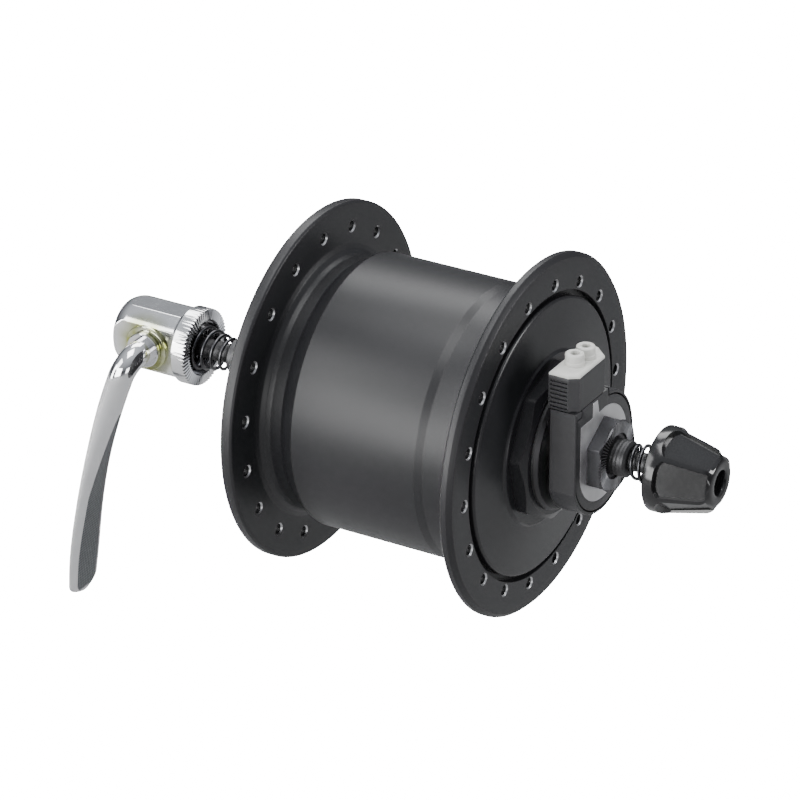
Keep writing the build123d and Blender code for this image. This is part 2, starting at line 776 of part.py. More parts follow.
def nut_grip():
    """Hand nut: six flat panels sunk between ribs, above a plain base band."""
    base_r = nut_base_d / 2
    tip_r = nut_tip_d / 2
    bevel_y = nut_tip_y + nut_tip_bevel
    body = turned(
        (nut_base_y, nut_recess_d / 2), (nut_base_y, base_r), (nut_base_y - nut_base_band, base_r),
        (bevel_y, tip_r), (nut_tip_y, nut_tip_face_d / 2), (nut_tip_y, nut_hole_d / 2),
        (nut_floor_y - nut_insert_l, nut_hole_d / 2), (nut_floor_y - nut_insert_l, nut_insert_d / 2),
        (nut_floor_y, nut_insert_d / 2), (nut_floor_y, nut_recess_d / 2))
    start_y = nut_base_y - nut_base_band
    fall = base_r - tip_r
    slope_l = sqrt(fall * fall + (start_y - bevel_y) * (start_y - bevel_y))
    down = (-fall / slope_l, (bevel_y - start_y) / slope_l, 0)
    out = (-down[1], down[0], 0)
    origin = (base_r - nut_panel_depth, start_y, 0)
    floor = Plane(origin=origin, x_dir=down, z_dir=out)
    far_l = slope_l + nut_tip_bevel + cut_extra
    far_w = nut_panel_base_w + (nut_panel_tip_w - nut_panel_base_w) * far_l / slope_l
    outline = Polyline(
        (0, -nut_panel_base_w / 2), (0, nut_panel_base_w / 2), (far_l, far_w / 2), (far_l, -far_w / 2),
        close=True)
    panel = extrude(floor * make_face(outline), amount=nut_base_d)
    for k in range(nut_panel_count):
        body -= panel.rotate(Axis.Y, nut_panel_turn + 360 * k / nut_panel_count)
    return body


def nut_insert():
    outer_r = nut_insert_d / 2 - nut_insert_gap
    return tube(nut_floor_y, nut_floor_y - nut_insert_l + press_gap, outer_r, rod_d / 2 + running_gap)


def cam_housing():
    barrel_r = barrel_grip_d / 2
    rim_r = grip_face_d / 2
    rim_y = grip_face_y + grip_rim_t
    body = turned(
        (grip_face_y, 0), (grip_face_y, rim_r), (rim_y, rim_r), (rim_y + rim_r - barrel_r, barrel_r),
        (barrel_shoulder_y, barrel_r), (barrel_mid_y, barrel_mid_d / 2),
        (barrel_end_y, barrel_end_d / 2), (barrel_end_y, 0))
    far = barrel_end_y + cut_extra
    for way in (-1, 1):
        body -= block((way * barrel_flat_x, way * flange_d), (rim_y, far), (-flange_d, flange_d))
        body -= block((-flange_d, flange_d), (rim_y, far), (way * barrel_flat_z, way * flange_d))
    body += peg(-barrel_flat_x - side_boss_h, -barrel_flat_x + side_boss_h, pivot_y, side_boss_d / 2)
    body -= tube(grip_face_y - cut_extra, grip_floor_y, grip_recess_d / 2, 0)
    cavity_end_y = eye_y + eye_slot_y + eye_wall_y + cavity_end_gap
    body -= block(
        (-cavity_w / 2, cavity_w / 2), (grip_floor_y - cut_extra, cavity_end_y),
        (-cavity_h / 2, cavity_h / 2))
    outer_x = -barrel_flat_x - side_boss_h - cut_extra
    body -= peg(outer_x, 0, pivot_y, shaft_big_d / 2 + running_gap)
    return body - peg(0, barrel_flat_x + cut_extra, pivot_y, shaft_small_d / 2 + running_gap)


def lever_place(share):
    """Point (y, z) of the lever's centre line, and its lean from straight down."""
    top = radians(lever_lean_top)
    tip = radians(lever_lean_tip)
    curve_r = lever_arm_l / (top - tip)
    lean = top + (tip - top) * share
    start_y = pivot_y + lever_bend_r * sin(top)
    start_z = -lever_bend_r * cos(top)
    return start_y + curve_r * (cos(lean) - cos(top)), start_z - curve_r * (sin(top) - sin(lean)), lean


def lever_section(width, thickness):
    """Many-sided section of the lever, with flats on all four sides."""
    turns = [2 * pi * (k + 0.5) / lever_sides for k in range(lever_sides)]
    corners = [(width / 2 * cos(turn), thickness / 2 * sin(turn)) for turn in turns]
    return make_face(Polyline(*corners, close=True))


def lever_arm():
    """Arm that widens and flattens towards its tip."""
    sections = []
    rows = zip(lever_place_shares, lever_widths, lever_thicknesses, lever_offsets)
    for share, width, thickness, offset in rows:
        y, z, lean = lever_place(share)
        middle = (lever_arm_x + offset, y, z)
        across = Plane(origin=middle, x_dir=(1, 0, 0), z_dir=(0, sin(lean), -cos(lean)))
        sections.append(across * lever_section(width, thickness))
    return loft(sections, ruled=True)


def lever_flat():
    """Block beside the flat on the arm's inner face, bounded by one arc."""
    marks = []
    shares = (lever_flat_top_share, lever_flat_mid_share, lever_flat_reach_share)
    for share, height in zip(shares, (lever_flat_top, lever_flat_mid, lever_flat_tip)):
        y, z, lean = lever_place(share)
        marks.append((y - height * cos(lean), z - height * sin(lean)))
    back = pivot_y - lever_arm_l
    edge = ThreePointArc(*marks) + Polyline(
        marks[2], (back, marks[2][1]), (back, marks[0][1]), marks[0])
    side = Plane(origin=(lever_arm_x - flange_d, 0, 0), x_dir=(0, 1, 0), z_dir=(1, 0, 0))
    return extrude(side * make_face(edge), amount=2 * flange_d)


def cam_lever():
    """Lever, its bend, and the stepped shaft with the cam."""
    arm = lever_arm() - lever_flat()
    top = radians(lever_lean_top)
    bend_x = lever_arm_x + lever_bend_r
    way = (0, sin(top), -cos(top))
    bend_plane = Plane(origin=(bend_x, pivot_y, 0), x_dir=way, z_dir=(-1, 0, 0))
    bend_centre = (bend_x, pivot_y + lever_bend_r * sin(top), -lever_bend_r * cos(top))
    bend_axis = Axis(bend_centre, (0, -cos(top), -sin(top)))
    bend = revolve(bend_plane * lever_section(lever_shaft_d, lever_shaft_d), bend_axis, 90)
    collar_x = -barrel_flat_x - side_boss_h - running_gap
    wall_x = cavity_w / 2
    shaft = peg(bend_x, collar_x, pivot_y, lever_shaft_d / 2)
    shaft += peg(collar_x - lever_collar_l, collar_x, pivot_y, lever_collar_d / 2)
    shaft += peg(collar_x, -wall_x - running_gap, pivot_y, shaft_big_d / 2)
    shaft += peg(-wall_x - running_gap, wall_x - cam_slack, eye_y, cam_d / 2)
    shaft += peg(wall_x - cam_slack, barrel_flat_x + running_gap + lever_nut_t, pivot_y, shaft_small_d / 2)
    return arm + bend + shaft


def lever_nut():
    """Cap nut that holds the lever's shaft in the housing."""
    start_x = barrel_flat_x + running_gap
    end_x = start_x + lever_nut_t
    body = peg(start_x, end_x, pivot_y, lever_nut_d / 2)
    outer = body.faces().sort_by(Axis.X)[-1]
    body = chamfer(outer.edges(), lever_nut_bevel)
    return body - peg(start_x, end_x, pivot_y, shaft_small_d / 2 + thread_gap)


def pieces():
    """Every piece by its name."""
    return {
        "axle": axle(),
        "left_cone": bearing_cone(1),
        "right_cone": bearing_cone(-1),
        "left_washer": left_washer(),
        "left_locknut": locknut(1),
        "right_locknut": locknut(-1),
        "left_spacer": left_spacer(),
        "stator_core": stator_core(),
        "coil_bobbin": coil_bobbin(),
        "coil_winding": coil_winding(),
        "claw_pole_left": claw_pole(1),
        "claw_pole_right": claw_pole(-1),
        "stator_nut": stator_nut(),
        "coil_lead": coil_lead(),
        "terminal_housing": terminal_housing(),
        "terminal_panel": terminal_panel(),
        "terminal_blades": terminal_blades(),
        "ground_plate": ground_plate(),
        "hub_shell": hub_shell(),
        "end_cap": end_cap(),
        "magnet_yoke": magnet_yoke(),
        "magnets": magnets(),
        "left_bearing_cup": bearing_cup(1),
        "right_bearing_cup": bearing_cup(-1),
        "left_dust_seal": dust_seal(1, left_boss_y, left_seal_d),
        "right_dust_seal": dust_seal(-1, octagon_y, right_seal_d),
        "left_balls": bearing_balls(1),
        "right_balls": bearing_balls(-1),
        "left_ball_cage": bearing_cage(1),
        "right_ball_cage": bearing_cage(-1),
        "plug_cap": plug_cap(),
        "wire_insert": wire_insert(),
        "skewer_rod": skewer_rod(),
        "left_spring": conical_spring(*spring_ends(1)),
        "right_spring": conical_spring(*spring_ends(-1)),
        "cam_housing": cam_housing(),
        "cam_lever": cam_lever(),
        "lever_nut": lever_nut(),
        "nut_grip": nut_grip(),
        "nut_insert": nut_insert(),
    }


os.makedirs("parts", exist_ok=True)
for name, piece in pieces().items():
    export_step(piece, f"parts/{name}.step")
for label, side in (("left", 1), ("right", -1)):
    print(f"{label} spring: least gap between its turns {spring_gap(*spring_ends(side)):.2f} mm")
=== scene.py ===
import bmesh
import bpy
import numpy as np
from mathutils import Matrix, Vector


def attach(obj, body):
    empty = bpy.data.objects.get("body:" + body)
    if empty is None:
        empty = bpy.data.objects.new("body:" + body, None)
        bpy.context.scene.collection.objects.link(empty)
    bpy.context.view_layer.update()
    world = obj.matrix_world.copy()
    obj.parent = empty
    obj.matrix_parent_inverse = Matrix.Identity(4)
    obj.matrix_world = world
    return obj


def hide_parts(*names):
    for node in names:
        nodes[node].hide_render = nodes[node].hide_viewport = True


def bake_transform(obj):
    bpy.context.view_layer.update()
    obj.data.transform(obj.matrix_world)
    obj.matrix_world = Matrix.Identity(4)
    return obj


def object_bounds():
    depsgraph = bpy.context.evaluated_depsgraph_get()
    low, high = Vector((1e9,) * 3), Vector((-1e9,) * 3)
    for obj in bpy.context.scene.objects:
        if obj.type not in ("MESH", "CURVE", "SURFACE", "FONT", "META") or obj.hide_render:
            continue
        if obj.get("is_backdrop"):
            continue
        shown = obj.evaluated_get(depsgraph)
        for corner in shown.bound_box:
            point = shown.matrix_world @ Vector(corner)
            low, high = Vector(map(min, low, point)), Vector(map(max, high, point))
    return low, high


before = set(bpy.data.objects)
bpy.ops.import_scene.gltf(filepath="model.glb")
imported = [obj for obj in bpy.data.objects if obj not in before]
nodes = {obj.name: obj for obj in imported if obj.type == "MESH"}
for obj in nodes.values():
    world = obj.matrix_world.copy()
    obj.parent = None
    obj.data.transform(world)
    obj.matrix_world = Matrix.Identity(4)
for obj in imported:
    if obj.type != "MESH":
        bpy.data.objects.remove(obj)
cad_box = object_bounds()
mm = 0.001

# Camera
# A long lens about a metre away, on the plug side and above, as in the photograph.
# Its place and direction were worked out from the circles of the two flanges.
camera_place = (-0.8175, -0.463585, 0.482935)
camera_right = (0.50083664, -0.86554183, 0.0)
camera_up = (0.39425191, 0.2281297, 0.8902372)
camera_back = (-0.77053754, -0.4458634, 0.45549723)


def in_scene(name, data, *columns):
    """Object in the scene. Its matrix's columns, where they are given, are its
    sideways, upward and backward directions and its place."""
    item = bpy.data.objects.new(name, data)
    if columns:
        rows = np.vstack([np.stack(columns, axis=1), (0, 0, 0, 1)])
        item.matrix_world = Matrix(rows.tolist())
    bpy.context.scene.collection.objects.link(item)
    return item


lens = bpy.data.cameras.new("camera")
lens.sensor_width = 36.0
lens.lens = 196.4996
lens.clip_end = 10.0
bpy.context.scene.camera = in_scene(
    "camera", lens, camera_right, camera_up, camera_back, camera_place)

# Studio
# A plain floor well below the hub that shows white, as the photograph's ground does,
# a sky that brightens evenly from the horizon to overhead, and soft boxes that draw the
# long highlights on the coating and the chrome.
floor_drop = 0.25
floor_half = 14.0
sky_shades = (0.06, 0.9)
sky_tint = (0.94, 0.98, 1.04)
floor_mesh = bpy.data.meshes.new("studio_floor")
floor_mesh.from_pydata([
    (x * floor_half, y * floor_half, -floor_drop) for x, y in ((-1, -1), (1, -1), (1, 1), (-1, 1))
], [], [(0, 1, 2, 3)])
floor = in_scene("studio_floor", floor_mesh)
floor_paint = bpy.data.materials.new("floor_paint")
floor_paint.use_nodes = True
floor_tree = floor_paint.node_tree
floor_shader = floor_tree.nodes["Principled BSDF"]
floor_shader.inputs["Base Color"].default_value = (0.3, 0.3, 0.3, 1)
floor_shader.inputs["Roughness"].default_value = 0.95
floor_shader.inputs["Specular IOR Level"].default_value = 0.1
floor_shader.inputs["Emission Strength"].default_value = 20.0
seen = floor_tree.nodes.new("ShaderNodeLightPath")
floor_tree.links.new(seen.outputs["Is Camera Ray"], floor_shader.inputs["Emission Color"])
floor.data.materials.append(floor_paint)
floor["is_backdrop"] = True

world = bpy.data.worlds.new("studio")
world.use_nodes = True
sky_tree = world.node_tree
direction = sky_tree.nodes.new("ShaderNodeTexCoord")
split = sky_tree.nodes.new("ShaderNodeSeparateXYZ")
ramp = sky_tree.nodes.new("ShaderNodeValToRGB")
sky_tree.links.new(direction.outputs["Generated"], split.inputs["Vector"])
sky_tree.links.new(split.outputs["Z"], ramp.inputs["Fac"])
sky_tree.links.new(ramp.outputs["Color"], sky_tree.nodes["Background"].inputs["Color"])
for stop, shade in zip(ramp.color_ramp.elements, sky_shades):
    stop.color = (*(shade * part for part in sky_tint), 1)
bpy.context.scene.world = world


def soft_box(name, place, aim, size, power, spread=180.0):
    """Rectangular lamp that faces a point and sends its light as wide as the spread."""
    lamp = bpy.data.lights.new(name, "AREA")
    lamp.shape = "RECTANGLE"
    lamp.size, lamp.size_y = size
    lamp.energy = power
    lamp.spread = np.radians(spread)
    back = np.subtract(place, aim)
    back = back / np.linalg.norm(back)
    side = np.cross((0, 0, 1), back)
    side = side / np.linalg.norm(side)
    in_scene(name, lamp, side, np.cross(back, side), back, place)


soft_box("box_key", (-1.05, 0.3, 0.14), (0, 0, 0), (0.8, 0.6), 15)
soft_box("box_side", (-0.6, 1.0, 0.05), (0, 0.06, 0), (0.3, 0.9), 8)
soft_box("box_left", (-0.75, 0.75, 0.62), (0, 0.02, 0), (0.6, 0.7), 8)
soft_box("box_above", (-0.1, 0.1, 1.0), (0, 0, 0), (0.7, 0.5), 8)
soft_box("box_back", (0.6, 0.3, 0.75), (0, 0, 0), (0.7, 0.4), 6)
soft_box("box_ground", (0.05, 0.75, 1.3), (0.05, 0.7501, -0.25), (0.4, 0.4), 16, spread=30.0)
soft_box("box_front_low", (-0.8, -0.95, 0.0), (0, 0, 0), (0.5, 0.4), 3.5)
soft_box("box_right", (0.45, -0.95, 0.3), (0, -0.04, 0), (0.35, 0.4), 8)

# Axle
# The hollow steel axle, M9 with a fine thread at both ends, that everything
# fixed is screwed on. Its ends stand out of the locknuts to take the fork ends.
axle_r = 4.5
axle_bore_r = 2.8
axle_ends = (-54.0, 57.0)
axle_thread = ((-53.4, -45.6), (44.6, 56.4))
thread_pitch = 1.0
thread_depth = 0.06
axle_chamfer = 0.6
axle_lanes, thread_rows = 48, 8
dark_steel_tone = (0.07, 0.07, 0.072)


def skin(points, around=True, along=False):
    """Faces of a grid of points: one quad per cell, and one more row of cells
    between the last line and the first in each direction that closes on itself."""
    rows, lanes = points.shape[:2]
    row = np.arange(rows if along else rows - 1)[:, None]
    lane = np.arange(lanes if around else lanes - 1)[None, :]
    row_after, lane_after = (row + 1) % rows, (lane + 1) % lanes
    corners = (row * lanes + lane, row * lanes + lane_after,
               row_after * lanes + lane_after, row_after * lanes + lane)
    return points.reshape(-1, 3), np.stack(np.broadcast_arrays(*corners), axis=-1).reshape(-1, 4)


def solid(name, skins, materials, crease=32.0, slot_marks=None):
    """Object from surfaces in millimetres. Points that meet are joined, faces are
    turned outwards, and edges sharper than the crease angle stay sharp."""
    starts = np.cumsum([0] + [len(points) for points, quads in skins[:-1]])
    points = np.concatenate([points for points, quads in skins]) * mm
    quads = np.concatenate([quads + start for (_, quads), start in zip(skins, starts)])
    mesh = bpy.data.meshes.new(name)
    mesh.from_pydata(points.tolist(), [], quads.tolist())
    if slot_marks is not None:
        mesh.polygons.foreach_set("material_index", slot_marks)
    work = bmesh.new()
    work.from_mesh(mesh)
    bmesh.ops.remove_doubles(work, verts=work.verts, dist=2e-7)
    bmesh.ops.recalc_face_normals(work, faces=work.faces)
    work.to_mesh(mesh)
    work.free()
    mesh.shade_smooth()
    mesh.set_sharp_from_angle(angle=np.radians(crease))
    for material in materials:
        mesh.materials.append(material)
    return in_scene(name, mesh)


def turns_of(count, start=0.0):
    """Angles all the way round the axle, from +X towards +Z."""
    return np.radians(start) + np.linspace(0, 2 * np.pi, count, endpoint=False)


def turned(y, radius, turns):
    """Points round the axle: (radius cos turn, y, radius sin turn) for every row and turn."""
    y, radius, turns = np.broadcast_arrays(*(np.atleast_2d(part) for part in (y, radius, turns)))
    return np.stack([radius * np.cos(turns), y, radius * np.sin(turns)], axis=-1)


def rows_over(turns, rows):
    """Pairs of height and reach, where both may vary with the turn, as two whole arrays."""
    return [np.stack([np.broadcast_to(value, turns.shape) for value in column])
            for column in zip(*rows)]


def stacked(turns, *rows, along=True):
    """Surface round the axle through rows of (y, radius), closed on itself if along."""
    y, radius = rows_over(turns, rows)
    return skin(turned(y, radius, turns), along=along)


def rounded(corners, radius, steps=3):
    """Outline whose corners become short parabolas, (1-s)² A + 2s(1-s) C + s² B,
    with A and B on the two sides, at the given distance from the corner C."""
    corners = np.asarray(corners, float)
    before = np.roll(corners, 1, axis=0) - corners
    after = np.roll(corners, -1, axis=0) - corners
    lengths = np.linalg.norm(before, axis=1), np.linalg.norm(after, axis=1)
    reach = np.minimum(np.broadcast_to(radius, len(corners)), 0.45 * np.minimum(*lengths))
    first = corners + before * (reach / lengths[0])[:, None]
    last = corners + after * (reach / lengths[1])[:, None]
    s = np.linspace(0, 1, steps + 1)[None, :, None]
    arcs = ((1 - s) ** 2 * first[:, None] + 2 * s * (1 - s) * corners[:, None]
            + s ** 2 * last[:, None])
    return arcs.reshape(-1, 2)


def add_node(tree, kind, feeds=(), **settings):
    """Shader node with its settings. Each feed is an input's name or place, and either
    the socket that is linked to it or its value."""
    node = tree.nodes.new("ShaderNode" + kind)
    for setting, value in settings.items():
        setattr(node, setting, value)
    for key, value in dict(feeds).items():
        if isinstance(value, bpy.types.NodeSocket):
            tree.links.new(value, node.inputs[key])
        else:
            node.inputs[key].default_value = value
    return node


def math_of(tree, operation, *values):
    """Result of an operation on one to three values, each a number or a socket."""
    return add_node(tree, "Math", enumerate(values), operation=operation).outputs[0]


def grain_group():
    """Shader group: cloudy noise less a half, times an amount, shifts the colour and the
    roughness, and a second, fine noise is the bump height."""
    group = bpy.data.node_groups.new("surface_grain", "ShaderNodeTree")
    given_labels = (
        "Colour", "Cloud Scale", "Cloud Amount", "Roughness", "Roughness Swing", "Grain Scale")
    for side, labels in (("INPUT", given_labels), ("OUTPUT", ("Colour", "Roughness", "Height"))):
        for label in labels:
            kind = "NodeSocketColor" if label == "Colour" else "NodeSocketFloat"
            group.interface.new_socket(label, in_out=side, socket_type=kind)
    given = group.nodes.new("NodeGroupInput").outputs
    place = add_node(group, "TexCoord").outputs["Object"]
    cloud, grain = [
        add_node(group, "TexNoise", {"Vector": place, "Scale": given[scale], "Detail": detail})
        for scale, detail in (("Cloud Scale", 4), ("Grain Scale", 2))]
    centred = math_of(group, "SUBTRACT", cloud.outputs["Fac"], 0.5)
    tint = math_of(group, "MULTIPLY_ADD", centred, given["Cloud Amount"], 1.0)
    rough = math_of(group, "MULTIPLY_ADD", centred, given["Roughness Swing"], given["Roughness"])
    shade = add_node(group, "VectorMath", {0: given["Colour"], "Scale": tint}, operation="SCALE")
    results = group.nodes.new("NodeGroupOutput").inputs
    group.links.new(shade.outputs[0], results["Colour"])
    group.links.new(rough, results["Roughness"])
    group.links.new(grain.outputs["Fac"], results["Height"])
    return group


surface_grain = grain_group()


def finish_of(name, tone, roughness, metallic=0.0, specular=0.5, cloud=(60.0, 0.25),
              swing=0.1, grain=2500.0, depth=0.000012):
    """Material whose colour, roughness and normal come from the grain group."""
    material = bpy.data.materials.new(name)
    material.use_nodes = True
    tree = material.node_tree
    group = add_node(tree, "Group", {
        "Colour": (*tone, 1), "Cloud Scale": cloud[0], "Cloud Amount": cloud[1],
        "Roughness": roughness, "Roughness Swing": swing, "Grain Scale": grain},
        name="grain", node_tree=surface_grain)
    bump = add_node(
        tree, "Bump", {"Distance": depth, "Height": group.outputs["Height"]}, name="bump")
    shader = tree.nodes["Principled BSDF"].inputs
    shader["Metallic"].default_value = metallic
    shader["Specular IOR Level"].default_value = specular
    tree.links.new(group.outputs["Colour"], shader["Base Color"])
    tree.links.new(group.outputs["Roughness"], shader["Roughness"])
    tree.links.new(bump.outputs["Normal"], shader["Normal"])
    return material


def dress(material, *names):
    """Carried-over solids get this material in place of their own."""
    for name in names:
        slots = nodes[name].data.materials
        slots.clear()
        slots.append(material)


def put(piece, body, slot, *replaced):
    """The piece rides on a body and stands for solids, which are hidden. The slot is not used."""
    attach(piece, body)
    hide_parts(*replaced)


def threaded_axle():
    """Rows along the axle; where it is threaded the radius falls by the thread's
    depth times a triangle wave of y / pitch - turn / 360°, faded in at both ends."""
    turns = turns_of(axle_lanes)
    step = thread_pitch / thread_rows
    stretches = [np.arange(start, end + 0.01, step) for start, end in axle_thread]
    y = np.concatenate(stretches)[:, None]
    wave = np.abs(2 * ((y / thread_pitch - turns / (2 * np.pi)) % 1) - 1)
    edge = np.concatenate([np.minimum(run - run[0], run[-1] - run) for run in stretches])[:, None]
    radius = axle_r - thread_depth * wave * np.clip(edge / thread_pitch, 0, 1)
    low, high = axle_ends
    end_r = axle_r - axle_chamfer
    return stacked(
        turns, (low, axle_bore_r), (low, end_r), *zip(y, radius), (high, end_r),
        (high, axle_bore_r))


dark_steel = finish_of(
    "dark_steel", dark_steel_tone, 0.48, metallic=0.9, cloud=(150.0, 0.6), swing=0.2)
axle_piece = solid("threaded_axle", [threaded_axle()], [dark_steel])
put(axle_piece, "axle_group", "dark_steel", "axle")

# Generator and bearings
# Iron claws round a copper coil, magnets in a steel ring, hardened races and balls.
# The closed shell hides them, so they keep their solids and get their real metals.
dress(finish_of("pressed_iron", (0.25, 0.25, 0.26), 0.5, metallic=1.0),
      "stator_core", "claw_pole_left", "claw_pole_right", "magnet_yoke")
dress(finish_of("ferrite", (0.06, 0.06, 0.065), 0.6), "magnets")
dress(finish_of("copper_wire", (0.62, 0.26, 0.12), 0.35, metallic=1.0), "coil_winding", "coil_lead")
dress(finish_of("bobbin_nylon", (0.6, 0.6, 0.57), 0.5), "coil_bobbin")
dress(finish_of("race_steel", (0.62, 0.62, 0.63), 0.2, metallic=1.0),
      "left_balls", "right_balls", "left_bearing_cup", "right_bearing_cup", "left_ball_cage",
      "right_ball_cage", "left_cone", "right_cone")
dress(finish_of("zinc_plate", (0.6, 0.61, 0.63), 0.3, metallic=1.0),
      "stator_nut", "left_spacer", "left_washer")

# Hub shell
# One aluminium forging, turned all over, drilled for 18 spokes in each flange,
# anodised satin black. The holes are countersunk; their countersinks are lighter metal.
shell_angles = 180
spoke_count = 18
spoke_hole_r = 1.3
countersink = 0.34
bright_countersink_rows = (0, 0, 1, 0, 1, 0, 0)
anodised_tone = (0.011, 0.011, 0.0125)
left_flange = dict(outer_y=33.0, inner_y=29.8, circle_r=38.6, span=(35.6, 41.6), turn=12.0)
right_flange = dict(outer_y=-29.8, inner_y=-26.8, circle_r=38.0, span=(36.3, 40.4), turn=2.0)
right_rim_line = (
    (-29.8, 40.4), (-29.8, 43.9), (-28.7, 45.0), (-27.3, 45.0), (-26.8, 44.5), (-26.8, 40.4))
barrel_line = (
    (-26.8, 36.3), (-26.6, 35.9), (-26.3, 35.2), (-25.6, 34.4), (-24.4, 33.85), (-16.0, 33.85),
    (-14.0, 34.35), (19.7, 34.35), (23.9, 31.8), (27.0, 31.8), (28.2, 32.2), (29.2, 33.1),
    (29.7, 34.3), (29.8, 35.6))
left_rim_line = (
    (29.8, 41.6), (29.8, 44.5), (30.3, 45.0), (32.5, 45.0), (33.0, 44.5), (33.0, 41.6))
inside_line = (
    (33.0, 35.6), (33.0, 17.3), (35.0, 17.3), (35.6, 16.7), (35.6, 14.5), (27.5, 14.5),
    (27.5, 11.0), (24.5, 11.0), (24.5, 29.5), (22.5, 29.5), (18.5, 32.7), (-27.6, 32.7),
    (-27.6, 36.0), (-29.8, 36.0), (-29.8, 36.3))


def turned_line(line, edge, turns):
    """Surface of revolution of a line of (y, radius) whose inner corners are eased."""
    ends = np.zeros(len(line))
    ends[1:-1] = edge
    return stacked(turns, *rounded(line, ends), along=False)


def pierced_faces(flange, turns_count):
    """Both faces of a flange with its spoke holes. Round each hole, a patch runs in
    straight lines from the edge of its sector to the countersink, then through the
    hole, and out to the same edge on the other face. Copies turn round the axle."""
    inner, outer = flange["span"]
    half = np.pi / spoke_count
    per_side = turns_count // spoke_count
    across = np.linspace(-half, half, per_side + 1)
    up = np.linspace(inner, outer, 5)
    rise = len(up) - 1
    turn = np.concatenate([across[:-1], np.full(rise, half), across[:0:-1], np.full(rise, -half)])
    reach = np.concatenate([np.full(per_side, inner), up[:-1], np.full(per_side, outer), up[:0:-1]])
    border = np.stack([reach * np.cos(turn), reach * np.sin(turn)], axis=-1)
    centre = np.array([flange["circle_r"], 0.0])
    away = border - centre
    away = away / np.linalg.norm(away, axis=1, keepdims=True)
    sunk = centre + away * (spoke_hole_r + countersink)
    hole = centre + away * spoke_hole_r
    outer_y, inner_y = flange["outer_y"], flange["inner_y"]
    step = countersink * np.sign(outer_y - inner_y)
    middle = (border + sunk) / 2
    flat = np.stack([border, middle, sunk, hole, hole, sunk, middle, border])
    heights = np.array([outer_y] * 3 + [outer_y - step, inner_y + step] + [inner_y] * 3)
    angles = np.radians(flange["turn"]) + 2 * half * np.arange(spoke_count)[:, None, None]
    x = flat[..., 0] * np.cos(angles) - flat[..., 1] * np.sin(angles)
    z = flat[..., 0] * np.sin(angles) + flat[..., 1] * np.cos(angles)
    grids = np.stack([x, np.broadcast_to(heights[:, None], x.shape), z], axis=-1)
    one_points, one_quads = skin(grids[0])
    shifts = len(one_points) * np.arange(spoke_count)[:, None, None]
    return grids.reshape(-1, 3), (one_quads[None] + shifts).reshape(-1, 4)


def lathe_rings(material, pitch, depth):
    """Very fine turned rings: a bump on the sine of the distance from the axle, over the
    pitch, laid over the grain's own bump."""
    tree = material.node_tree
    place = add_node(tree, "TexCoord").outputs["Object"]
    flat = add_node(tree, "VectorMath", {0: place, 1: (1, 0, 1)}, operation="MULTIPLY")
    distance = add_node(tree, "VectorMath", {0: flat.outputs[0]}, operation="LENGTH")
    phase = math_of(tree, "MULTIPLY", distance.outputs["Value"], 2 * np.pi / pitch)
    wave = math_of(tree, "SINE", phase)
    bump = add_node(tree, "Bump", {
        "Distance": depth, "Height": wave, "Normal": tree.nodes["bump"].outputs["Normal"]})
    tree.links.new(bump.outputs["Normal"], tree.nodes["Principled BSDF"].inputs["Normal"])


satin_black = finish_of(
    "satin_black", anodised_tone, 0.4, specular=0.34, cloud=(40.0, 0.5), grain=3500.0,
    depth=0.000006)
lathe_rings(satin_black, 0.0006, 0.0000012)
# The countersinks take a lighter, more metallic finish than the coating.
bright_countersink = finish_of("bright_countersink", (0.45, 0.45, 0.46), 0.3, metallic=0.9, cloud=(400.0, 1.2))
shell_turns = turns_of(shell_angles)
shell_lines = (
    (right_rim_line, 0.14), (barrel_line, 0.2), (left_rim_line, 0.2), (inside_line, 0.12))
plain_skins = [turned_line(line, edge, shell_turns) for line, edge in shell_lines]
holed_skins = [pierced_faces(flange, shell_angles) for flange in (left_flange, right_flange)]
marks = [np.zeros(len(quads), int) for points, quads in plain_skins]
hole_marks = np.repeat(bright_countersink_rows, len(holed_skins[0][1]) // spoke_count // len(bright_countersink_rows))
marks += [np.tile(hole_marks, spoke_count)] * len(holed_skins)
shell_piece = solid(
    "turned_shell", plain_skins + holed_skins, [satin_black, bright_countersink],
    slot_marks=np.concatenate(marks))
put(shell_piece, "shell", "satin_black", "hub_shell")

# End cap
# An aluminium cap screwed into the plug side of the shell, slightly dished, with
# an eight-sided grip for a spanner turned up in one piece with it.
cap_line = (
    (-31.7, 21.25), (-31.1, 21.85), (-30.4, 34.1), (-30.05, 34.55), (-27.6, 34.55),
    (-27.6, 32.68), (-21.6, 32.68), (-21.6, 29.4), (-24.6, 29.4), (-24.6, 11.0), (-27.5, 11.0),
    (-27.5, 14.5), (-35.6, 14.5), (-35.6, 17.8))
cap_edges = (0, 0.25, 0.3, 0.2, *[0.08] * 9, 0)
octagon_corner_r = 20.2
octagon_turn = 7.0
octagon_seat_y = -31.7
octagon_face = (-35.6, 17.8)
octagon_bevel = 30.0
face_edge = 0.05
far_off = 1000.0


def flats_radius(turns, flats, sharpness=9.0, least_lean=0.05):
    """Distance to the nearest of several flats, each given by its angle and apothem:
    apothem / cos(turn - angle), or far off where that cosine is too small. A soft
    minimum, -log(sum of exp(-sharpness × distance)) / sharpness, rounds the corners."""
    angles, apothems = np.array(flats).T
    lean = np.cos(turns[..., None] - np.radians(angles))
    reach = np.where(lean > least_lean, apothems / np.maximum(lean, least_lean), far_off)
    nearest = reach.min(-1, keepdims=True)
    return -np.log(np.exp(-sharpness * (reach - nearest)).sum(-1)) / sharpness + nearest[..., 0]


def corner_turns(sides, first_corner, per_side):
    """Angles round a polygon, closer together near its corners: each side's middle plus
    half its turn times the sine of even steps from -90° to 90°."""
    half = np.pi / sides
    spread = half * np.sin(np.pi / 2 * np.linspace(-1, 1, per_side, endpoint=False))
    middles = np.radians(first_corner) + half + 2 * half * np.arange(sides)
    return (middles[:, None] + spread).ravel()


